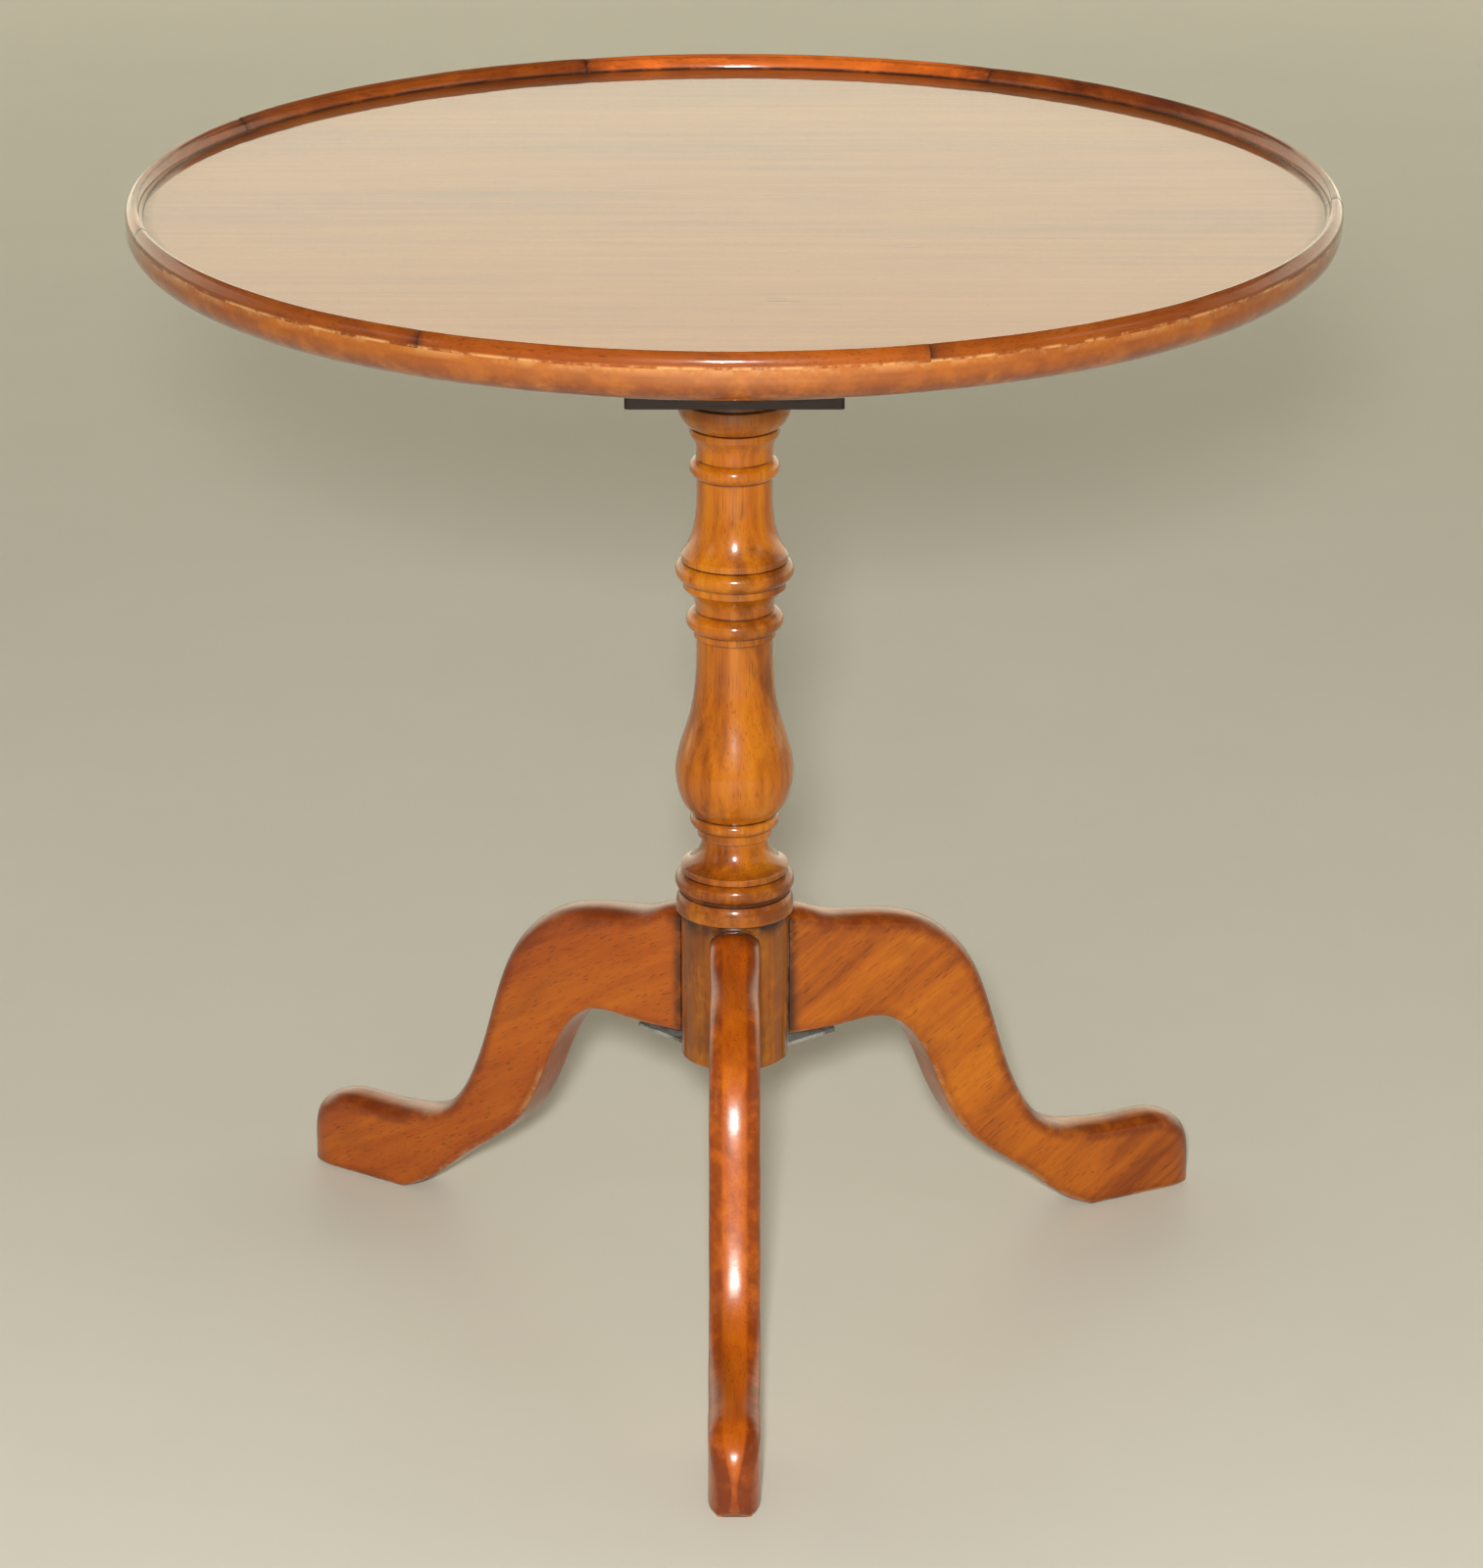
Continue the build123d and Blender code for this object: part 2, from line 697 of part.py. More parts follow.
def make_bracket(name, bearing):
    """A thin iron strap folded between the drum's flat and the leg's shoulder, and out under the leg."""
    arm_end = flat_distance + bracket_arm_reach
    with BuildPart() as bracket:
        with BuildSketch(radial_plane(bearing).offset(-bracket_width / 2)):
            with BuildLine():
                Polyline(
                    (flat_distance, bracket_top),
                    (shoulder_distance, bracket_top),
                    (shoulder_distance, bracket_bottom),
                    (arm_end, bracket_bottom + bracket_arm_rise),
                    (arm_end, bracket_bottom + bracket_arm_rise - bracket_arm_thickness),
                    (flat_distance, bracket_bottom - bracket_arm_thickness),
                    close=True,
                )
            make_face()
        extrude(amount=bracket_width)
        with BuildSketch(level_plane(bearing, tenon_bottom - slide_clearance)):
            with Locations((flat_distance, 0)):
                Rectangle(
                    bracket_thickness,
                    tenon_neck + slide_clearance,
                    align=(Align.MIN, Align.CENTER),
                )
        extrude(amount=tenon_top - tenon_bottom + 2 * slide_clearance, mode=Mode.SUBTRACT)
        with BuildSketch(bracket_screw_plane(bearing)):
            Circle(2 * small_screw_radius + glue_clearance)
        extrude(amount=bracket_screw_length, mode=Mode.SUBTRACT)
    save(bracket, name)


for side, bearing in leg_bearings.items():
    make_bracket(f"bracket_{side}", bearing)

make_screws(
    "bracket_screws",
    [bracket_screw_plane(bearing) for bearing in leg_bearings.values()],
    small_screw_radius,
    bracket_screw_length,
)

# ================================================================ the catch
# A brass case under the board holds a sprung bolt. Its nose snaps into a strike plate on the birdcage's upper
# plate, and a knob below the case draws it back.
case_bottom = bolt_height_mid - bolt_height / 2 - case_wall - case_headroom
case_outer_width = case_cavity_width + 2 * case_wall
knob_slot_front = knob_y + bolt_stem_radius + slide_clearance
knob_slot_back = knob_y - bolt_stem_radius - slide_clearance - bolt_throw - bolt_overdraw

with BuildPart() as catch_case:
    with BuildSketch(Plane.XY.offset(underside_height)):
        with Locations((0, case_middle)):
            RectangleRounded(flange_width, case_length, flange_corner_radius)
    extrude(amount=-flange_thickness)
    with BuildSketch(Plane.XY.offset(underside_height)):
        with Locations((0, case_middle)):
            Rectangle(case_outer_width, case_length)
    extrude(amount=case_bottom - underside_height)
    chamfer(catch_case.edges().group_by(Axis.Z)[0], case_chamfer)
    with BuildSketch(Plane.XY.offset(underside_height)):
        with Locations((0, case_middle)):
            Rectangle(case_cavity_width, case_length - 2 * case_wall)
    extrude(amount=case_bottom + case_wall - underside_height, mode=Mode.SUBTRACT)
    # The bolt's way out at the front, its stem's at the back, and the knob's slot below.
    with BuildSketch(Plane.XZ.offset(-case_front)):
        with Locations((0, bolt_height_mid)):
            Rectangle(bolt_width + slide_clearance, bolt_height + slide_clearance)
    extrude(amount=case_wall, mode=Mode.SUBTRACT)
    with BuildSketch(Plane.XZ.offset(-case_back)):
        with Locations((0, bolt_height_mid)):
            Circle(bolt_stem_radius + slide_clearance)
    extrude(amount=-case_wall, mode=Mode.SUBTRACT)
    with BuildSketch(Plane.XY.offset(case_bottom)):
        with Locations((0, (knob_slot_front + knob_slot_back) / 2)):
            Rectangle(2 * (bolt_stem_radius + slide_clearance), knob_slot_front - knob_slot_back)
    extrude(amount=case_wall, mode=Mode.SUBTRACT)
    with Locations((0, case_middle, underside_height - flange_thickness)):
        with Locations(Rotation(180, 0, 0)):
            with GridLocations(*catch_screw_grid, 2, 2):
                CounterSinkHole(
                    radius=small_screw_radius + glue_clearance,
                    counter_sink_radius=2 * small_screw_radius + glue_clearance,
                    depth=flange_thickness,
                )
save(catch_case, "catch_case")

make_screws(
    "catch_screws",
    [
        Plane(
            origin=(
                x * catch_screw_grid[0] / 2,
                case_middle + y * catch_screw_grid[1] / 2,
                underside_height - flange_thickness,
            ),
            x_dir=(1, x * y, 0),
        )
        for x in (-1, 1)
        for y in (-1, 1)
    ],
    small_screw_radius,
    screw_tip_height - underside_height,
)

# The nose is bevelled below, so that the catch snaps shut as the top comes down.
with BuildPart() as catch_bolt:
    with BuildSketch(Plane.YZ.offset(-bolt_width / 2)):
        with BuildLine():
            Polyline(
                (bolt_back, bolt_height_mid - bolt_height / 2),
                (bolt_nose - bolt_throw, bolt_height_mid - bolt_height / 2),
                (bolt_nose, bolt_height_mid + bolt_height / 4),
                (bolt_nose, bolt_height_mid + bolt_height / 2),
                (bolt_back, bolt_height_mid + bolt_height / 2),
                close=True,
            )
        make_face()
    extrude(amount=bolt_width)
    with BuildSketch(Plane.XZ.offset(-bolt_back)):
        with Locations((0, bolt_height_mid)):
            Circle(bolt_stem_radius)
    extrude(amount=bolt_back - case_back + case_wall)
    with BuildSketch(Plane.XY.offset(bolt_height_mid - bolt_height / 2)):
        with Locations((0, knob_y)):
            Circle(bolt_stem_radius + glue_clearance)
    extrude(amount=knob_pin_depth, mode=Mode.SUBTRACT)
save(catch_bolt, "catch_bolt")

knob_middle = case_bottom - knob_gap - knob_radius
with BuildPart() as catch_knob:
    with BuildSketch(Plane.XY.offset(knob_middle)):
        with Locations((0, knob_y)):
            Circle(bolt_stem_radius)
    extrude(amount=bolt_height_mid - knob_middle)
    with Locations((0, knob_y, knob_middle)):
        Sphere(knob_radius)
save(catch_knob, "catch_knob")

# A compression spring round the bolt's stem, between the bolt and the back wall of the case.
spring_front = bolt_back - spring_wire_radius - spring_end_gap
spring_back = case_back + case_wall + spring_wire_radius + spring_end_gap
with BuildPart() as catch_spring:
    with BuildLine():
        coil = Helix(
            pitch=(spring_front - spring_back) / spring_turns,
            height=spring_front - spring_back,
            radius=spring_radius,
            center=(0, spring_back, bolt_height_mid),
            direction=(0, 1, 0),
        )
    with BuildSketch(Plane(origin=coil @ 0, z_dir=coil % 0)):
        Circle(spring_wire_radius)
    sweep(path=coil, is_frenet=True)
save(catch_spring, "catch_spring")

with BuildPart() as strike_plate:
    with BuildSketch(Plane.XZ.offset(-strike_face)):
        with Locations((0, bolt_height_mid)):
            RectangleRounded(strike_width, strike_height, strike_corner_radius)
            Rectangle(
                bolt_width + 2 * slide_clearance,
                bolt_height + 2 * slide_clearance,
                mode=Mode.SUBTRACT,
            )
    extrude(amount=-strike_thickness)
    with Locations(Plane(origin=(0, strike_face, bolt_height_mid), x_dir=(1, 0, 0), z_dir=(0, -1, 0))):
        with GridLocations(strike_screw_spacing, 1, 2, 1):
            CounterSinkHole(
                radius=small_screw_radius + glue_clearance,
                counter_sink_radius=2 * small_screw_radius + glue_clearance,
                depth=strike_thickness,
            )
save(strike_plate, "strike_plate")

make_screws(
    "strike_screws",
    [
        Plane(
            origin=(x * strike_screw_spacing / 2, strike_face, bolt_height_mid),
            x_dir=(x, 0, 2),
            z_dir=(0, 1, 0),
        )
        for x in (-1, 1)
    ],
    small_screw_radius,
    strike_screw_length,
)
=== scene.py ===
"""Looks of a tripod table whose round dished top tips up: worn, French-polished wood with metal fittings.

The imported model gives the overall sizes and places. The turned, carved and moulded wood and the catch's
spring are rebuilt here as fine surfaces, and the other fittings keep their own meshes and get a finish.
"""

import json
import logging
import math
from dataclasses import dataclass
from enum import Enum
from typing import Sequence

import bpy
import numpy as np
from mathutils import Euler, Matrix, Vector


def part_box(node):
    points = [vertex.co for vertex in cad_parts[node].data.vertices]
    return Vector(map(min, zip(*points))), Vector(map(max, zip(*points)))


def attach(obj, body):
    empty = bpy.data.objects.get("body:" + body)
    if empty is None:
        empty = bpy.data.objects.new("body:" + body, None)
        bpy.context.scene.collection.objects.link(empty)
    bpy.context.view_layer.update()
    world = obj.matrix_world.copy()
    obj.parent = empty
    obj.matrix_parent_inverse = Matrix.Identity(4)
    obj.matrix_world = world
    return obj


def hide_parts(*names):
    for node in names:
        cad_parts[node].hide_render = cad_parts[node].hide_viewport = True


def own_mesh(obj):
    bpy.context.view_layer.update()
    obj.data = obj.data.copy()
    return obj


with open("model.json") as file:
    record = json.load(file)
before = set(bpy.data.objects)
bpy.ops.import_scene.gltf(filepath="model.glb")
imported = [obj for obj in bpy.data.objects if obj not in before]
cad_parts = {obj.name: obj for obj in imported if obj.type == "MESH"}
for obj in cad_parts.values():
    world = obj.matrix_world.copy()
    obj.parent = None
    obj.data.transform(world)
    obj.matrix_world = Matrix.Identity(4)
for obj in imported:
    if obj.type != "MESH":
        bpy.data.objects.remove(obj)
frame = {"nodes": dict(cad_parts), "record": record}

log = logging.getLogger("table")

MM = 0.001
FULL_TURN = 2 * math.pi
Colour = tuple[float, float, float]
Steps = Sequence[tuple]
Socket = bpy.types.NodeSocket
Material = bpy.types.Material
Piece = bpy.types.Object
Value = Socket | float


# ---------------- outlines
def arc_through(a: np.ndarray, b: np.ndarray, c: np.ndarray, spacing: float) -> np.ndarray:
    """Points on the circle through three points, from a by way of b to c.

    The centre solves |p - a| = |p - b| = |p - c|, and the points are evenly spaced in angle about it.

    Args:
        a: The arc's start.
        b: A point on it.
        c: Its end.
        spacing: The wanted distance between points.

    Returns:
        The points after a, up to and including c.
    """
    rows = 2 * np.array([b - a, c - a])
    centre = np.linalg.solve(rows, np.array([b @ b - a @ a, c @ c - a @ a]))
    turns = [math.atan2(*(p - centre)[::-1]) for p in (a, b, c)]
    to_b, to_c = (turns[1] - turns[0]) % FULL_TURN, (turns[2] - turns[0]) % FULL_TURN
    sweep = to_c if to_b <= to_c else to_c - FULL_TURN
    radius = np.linalg.norm(a - centre)
    count = max(3, int(abs(sweep) * radius / spacing) + 1)
    angle = turns[0] + sweep * np.linspace(0, 1, count + 1)[1:]
    return centre + radius * np.stack([np.cos(angle), np.sin(angle)], 1)


def smooth_through(knots: np.ndarray, spacing: float) -> np.ndarray:
    """Points on the natural cubic spline through the knots, with the chord length as its parameter.

    Args:
        knots: The points that the curve passes through.
        spacing: The wanted distance between points.

    Returns:
        The points after the first knot, up to and including the last.
    """
    gaps = np.linalg.norm(np.diff(knots, axis=0), axis=1)
    at = np.concatenate([[0], np.cumsum(gaps)])
    size = len(knots)
    matrix, right = np.eye(size), np.zeros((size, 2))
    inner = np.arange(1, size - 1)
    matrix[inner, inner - 1] = gaps[:-1]
    matrix[inner, inner] = 2 * (gaps[:-1] + gaps[1:])
    matrix[inner, inner + 1] = gaps[1:]
    slopes = np.diff(knots, axis=0) / gaps[:, None]
    right[inner] = 6 * np.diff(slopes, axis=0)
    bend = np.linalg.solve(matrix, right)
    t = np.linspace(0, at[-1], max(4, int(at[-1] / spacing)) + 1)[1:]
    i = np.clip(np.searchsorted(at, t) - 1, 0, size - 2)
    h, left, rest = gaps[i][:, None], (t - at[i])[:, None], (at[i + 1] - t)[:, None]
    return (
        (bend[i] * rest**3 + bend[i + 1] * left**3) / (6 * h)
        + (knots[i] / h - bend[i] * h / 6) * rest
        + (knots[i + 1] / h - bend[i + 1] * h / 6) * left
    )


def trace(start: Sequence[float], steps: Steps, spacing: float) -> np.ndarray:
    """An outline as evenly spaced points.

    Args:
        start: The first point.
        steps: Each step is "line" and its end, "arc", a point on it and its end, or "curve" and its knots.
        spacing: The wanted distance between points.

    Returns:
        The outline's points, in the units of the steps.
    """
    points = [np.array([start], float)]
    for kind, *given in steps:
        here, ends = points[-1][-1], np.array(given, float)
        if kind == "line":
            count = max(1, int(np.linalg.norm(ends[0] - here) / spacing))
            share = np.linspace(0, 1, count + 1)[1:, None]
            points.append(here + (ends[0] - here) * share)
        elif kind == "arc":
            points.append(arc_through(here, ends[0], ends[1], spacing))
        else:
            points.append(smooth_through(np.vstack([here, ends]), spacing))
    return np.vstack(points)


def along(points: np.ndarray) -> np.ndarray:
    """Each point's distance along its outline, over the whole length.

    Args:
        points: The outline.

    Returns:
        One share from 0 to 1 for each point.
    """
    steps = np.linalg.norm(np.diff(points, axis=0), axis=1)
    total = np.concatenate([[0], np.cumsum(steps)])
    return total / total[-1]


def smoothstep(low: float, high: float, value: np.ndarray) -> np.ndarray:
    """0 below low, 1 above high, and 3t^2 - 2t^3 of the way between in between."""
    t = np.clip((value - low) / (high - low), 0, 1)
    return t * t * (3 - 2 * t)


def blur(values: np.ndarray, places: np.ndarray, width: float) -> np.ndarray:
    """The average of the values about each place, weighted by a Gaussian.

    Args:
        values: What is averaged.
        places: Where the values stand, in rising order.
        width: The Gaussian's standard deviation.

    Returns:
        One average for each place.
    """
    weight = np.exp(-0.5 * ((places[:, None] - places[None]) / width) ** 2)
    spread = np.gradient(places)
    return (weight * spread) @ values / (weight @ spread)


def ripple(points: np.ndarray, length: float, seed: int, waves: int = 14) -> np.ndarray:
    """Smooth unevenness, from about -1 to 1: a sum of sine waves in seeded directions, over its own spread.

    Args:
        points: Where to work it out; the last axis is x, y, z.
        length: The waves' mean length.
        seed: Fixes the directions, lengths and phases.
        waves: How many waves are added.

    Returns:
        One value for each point.
    """
    draw = np.random.default_rng(seed)
    ways = draw.normal(size=(waves, 3))
    ways /= np.linalg.norm(ways, axis=1)[:, None]
    pitch = FULL_TURN / (length * draw.uniform(0.6, 1.6, waves))
    phase = draw.uniform(0, FULL_TURN, waves)
    return np.sin(points @ (ways * pitch[:, None]).T + phase).sum(-1) / math.sqrt(waves)


# ---------------- meshes
def tube_faces(rows: int, columns: int) -> list[tuple[int, ...]]:
    """Faces of a tube of closed rings, with a pole at each end so that the surface is closed.

    Vertex i * columns + j is ring i, column j, and the two poles come last.

    Args:
        rows: How many rings there are.
        columns: How many points each ring has.

    Returns:
        The vertex numbers of each face.
    """
    i, j = np.meshgrid(np.arange(rows - 1), np.arange(columns), indexing="ij")
    k = (j + 1) % columns
    here, beyond = i * columns, (i + 1) * columns
    quads = np.stack([here + j, here + k, beyond + k, beyond + j], -1).reshape(-1, 4)
    ring, after = np.arange(columns), (np.arange(columns) + 1) % columns
    first, last, base = rows * columns, rows * columns + 1, (rows - 1) * columns
    start = np.stack([after, ring, np.full(columns, first)], 1)
    end = np.stack([base + ring, base + after, np.full(columns, last)], 1)
    return [tuple(face) for part in (quads, start, end) for face in part.tolist()]


def make_object(name: str, points: np.ndarray, faces: list, sharp_angle: float = 35.0) -> Piece:
    """A smooth-shaded object at the scene's origin.

    Args:
        name: The object's name.
        points: Its points; the last axis is x, y, z.
        faces: The vertex numbers of each face, counterclockwise from outside.
        sharp_angle: Edges turning by more than this stay sharp, in degrees.

    Returns:
        The object, in the scene.
    """
    mesh = bpy.data.meshes.new(name)
    mesh.from_pydata(points.reshape(-1, 3).tolist(), [], faces)
    mesh.update()
    mesh.polygons.foreach_set("use_smooth", np.ones(len(mesh.polygons), bool))
    mesh.set_sharp_from_angle(angle=math.radians(sharp_angle))
    made = bpy.data.objects.new(name, mesh)
    bpy.context.scene.collection.objects.link(made)
    return made


def tube(
    name: str,
    rings: np.ndarray,
    marks: dict[str, np.ndarray] | None = None,
    poles: tuple[np.ndarray, np.ndarray] | None = None,
    sharp_angle: float = 35.0,
) -> Piece:
    """A closed object from rings of points, capped by a pole in the middle of each end ring.

    Args:
        name: The object's name.
        rings: Points as (ring, column, xyz).
        marks: Values for each point, kept as the mesh's attributes.
        poles: The two poles, or None for the middles of the end rings.
        sharp_angle: Edges turning by more than this stay sharp, in degrees.

    Returns:
        The object, whose faces point outwards.
    """
    rows, columns = rings.shape[:2]
    ends = poles or (rings[0].mean(0), rings[-1].mean(0))
    points = np.vstack([rings.reshape(-1, 3), ends])
    faces = tube_faces(rows, columns)
    if signed_volume(points, faces) < 0:
        faces = [face[::-1] for face in faces]
    made = make_object(name, points, faces, sharp_angle)
    for mark, values in (marks or {}).items():
        flat = np.concatenate([values.ravel(), [values[0].mean(), values[-1].mean()]])
        made.data.attributes.new(mark, "FLOAT", "POINT").data.foreach_set("value", flat.astype(np.float32))
    return made


def signed_volume(points: np.ndarray, faces: list) -> float:
    """Six times the volume inside: the sum of a . (b x c) over the triangles that fan each face.

    Args:
        points: The points.
        faces: Faces of three or four vertex numbers.

    Returns:
        A positive number where the faces point outwards.
    """
    corners = np.array([f[:3] for f in faces] + [(f[0], f[2], f[3]) for f in faces if len(f) == 4])
    a, b, c = points[corners[:, 0]], points[corners[:, 1]], points[corners[:, 2]]
    return float(np.einsum("ij,ij->i", a, np.cross(b, c)).sum())


def place_cap_rings(profile: np.ndarray, count: int) -> np.ndarray:
    """Adds points from the axis to a lathe profile's ends, so that its flat ends have rings of their own.

    Args:
        profile: The outline as radius and height.
        count: How many points each end gets.

    Returns:
        The longer outline.
    """
    share = np.linspace(0.15, 1, count, endpoint=False)[:, None]
    start = profile[0] * [0, 1] + (profile[0] * [1, 0]) * share
    end = profile[-1] * [0, 1] + (profile[-1] * [1, 0]) * share[::-1]
    return np.vstack([start, profile, end])


@dataclass(frozen=True)
class RoundedSection:
    """A bar's rounded rectangular section, as a closed loop that starts at the middle of its lower side."""

    arc_points: int = 9
    side_points: int = 14
    flat_points: int = 8

    def loop(self) -> tuple[np.ndarray, np.ndarray, np.ndarray, np.ndarray]:
        """The loop's points, each given as a place in the section and a way out from its rounding.

        Returns:
            The side from -1 to 1, the rise from 0 to 1, and the x and y of the unit way.
        """
        quarter = np.linspace(0, math.pi / 2, self.arc_points)
        up = np.linspace(0, 1, self.side_points + 2)[1:-1]
        across = np.linspace(-1, 1, self.flat_points + 2)[1:-1]
        one_arc, one_up, one_across = np.ones_like(quarter), np.ones_like(up), np.ones_like(across)
        side = [across, one_arc, one_up, one_arc, -across, -one_arc, -one_up, -one_arc]
        rise = [0 * across, 0 * quarter, up, one_arc, one_across, one_arc, 1 - up, 0 * quarter]
        way_x = [0 * across, np.sin(quarter), one_up, np.cos(quarter)]
        way_x += [0 * across, -np.sin(quarter), -one_up, -np.cos(quarter)]
        way_y = [-one_across, -np.cos(quarter), 0 * up, np.sin(quarter)]
        way_y += [one_across, np.cos(quarter), 0 * up, -np.sin(quarter)]
        return tuple(np.concatenate(parts) for parts in (side, rise, way_x, way_y))


# ---------------- finishes
class Shader:
    """Adds nodes to one material and joins them."""

    def __init__(self, name: str) -> None:
        """Starts an empty material.

        Args:
            name: The material's name.
        """
        self.material = bpy.data.materials.new(name)
        self.material.use_nodes = True
        self.nodes = self.material.node_tree.nodes
        self.links = self.material.node_tree.links
        self.nodes.clear()

    def add(self, kind: str, inputs: dict | None = None, out: int | str = 0, **settings: object) -> Socket:
        """Adds a node.

        Args:
            kind: The node's type, without "ShaderNode".
            inputs: A socket or a value for each of its inputs, by name or number.
            out: Which output is wanted.
            **settings: The node's own settings.

        Returns:
            The wanted output.
        """
        node = self.nodes.new("ShaderNode" + kind)
        for setting, value in settings.items():
            setattr(node, setting, value)
        for name, value in (inputs or {}).items():
            socket = node.inputs[name]
            if isinstance(value, Socket):
                self.links.new(value, socket)
            else:
                socket.default_value = (*value, 1.0) if socket.type == "RGBA" and len(value) == 3 else value
        return node.outputs[out]

    def place(self, turn: Sequence[float] = (0, 0, 0), shift: Sequence[float] = (0, 0, 0)) -> Socket:
        """The point on the piece, turned and shifted.

        Args:
            turn: Degrees about X, Y and Z.
            shift: Metres along X, Y and Z.

        Returns:
            The point.
        """
        turned = tuple(math.radians(t) for t in turn)
        where = self.add("TexCoord", out="Object")
        return self.add("Mapping", {"Vector": where, "Rotation": turned, "Location": tuple(shift)})

    def stretch(self, where: Socket, by: Sequence[float]) -> Socket:
        """The point with each coordinate multiplied."""
        return self.add("VectorMath", {0: where, 1: tuple(by)}, operation="MULTIPLY")

    def noise(
        self, where: Socket, scale: float, detail: float = 2, rough: float = 0.5, twist: float = 0
    ) -> Socket:
        """Smooth noise from 0 to 1."""
        given = {"Vector": where, "Scale": scale, "Detail": detail, "Roughness": rough, "Distortion": twist}
        return self.add("TexNoise", given, out="Fac")

    def ramp(self, value: Socket, low: float, high: float) -> Socket:
        """The value taken from low..high to 0..1, smoothly."""
        given = {"Value": value, "From Min": low, "From Max": high}
        return self.add("MapRange", given, interpolation_type="SMOOTHSTEP")

    def math(self, how: str, a: Value, b: Value) -> Socket:
        """One sum on two values, kept within 0 to 1."""
        return self.add("Math", {0: a, 1: b}, operation=how, use_clamp=True)

    def times(self, a: Value, b: Value) -> Socket:
        """The product of two values."""
        return self.math("MULTIPLY", a, b)

    def weigh(self, *shares: tuple[Socket, float]) -> Socket:
        """The sum of values that are each multiplied by a weight.

        Args:
            *shares: Each value and its weight.

        Returns:
            The sum, kept within 0 to 1 at each step.
        """
        parts = [value if weight == 1 else self.times(value, weight) for value, weight in shares]
        total = parts[0]
        for part in parts[1:]:
            total = self.math("ADD", total, part)
        return total

    def mix(self, amount: Value, first: Socket | Colour, second: Socket | Colour) -> Socket:
        """Two colours mixed by an amount from 0 to 1."""
        return self.add("Mix", {"Factor": amount, 6: first, 7: second}, out=2, data_type="RGBA")

    def colours(self, value: Socket, stops: Sequence[tuple[float, Colour]]) -> Socket:
        """A colour for each value, shaded between the stops.

        Args:
            value: From 0 to 1.
            stops: Values in rising order, each with its colour.

        Returns:
            The colour.
        """
        made = self.add("ValToRGB", {0: value})
        band = made.node.color_ramp
        while len(band.elements) < len(stops):
            band.elements.new(0.5)
        for element, (place, colour) in zip(band.elements, stops):
            element.position = place
            element.color = (*colour, 1.0)
        return made

    def mark(self, name: str) -> Socket:
        """A value kept on the piece's own mesh."""
        return self.add("Attribute", out="Fac", attribute_name=name)

    def bump(self, height: Socket, strength: float, distance: float) -> Socket:
        """A normal from a height."""
        given = {"Height": height, "Strength": strength, "Distance": distance}
        return self.add("Bump", given, out="Normal")

    def finish(self, **inputs: object) -> Material:
        """Ends the material with a Principled shader.

        Args:
            **inputs: A socket or a value for each of its inputs, with _ for a space in the name.

        Returns:
            The finished material.
        """
        named = {name.replace("_", " "): value for name, value in inputs.items()}
        surface = self.add("BsdfPrincipled", named)
        end = self.nodes.new("ShaderNodeOutputMaterial")
        self.links.new(surface, end.inputs["Surface"])
        return self.material


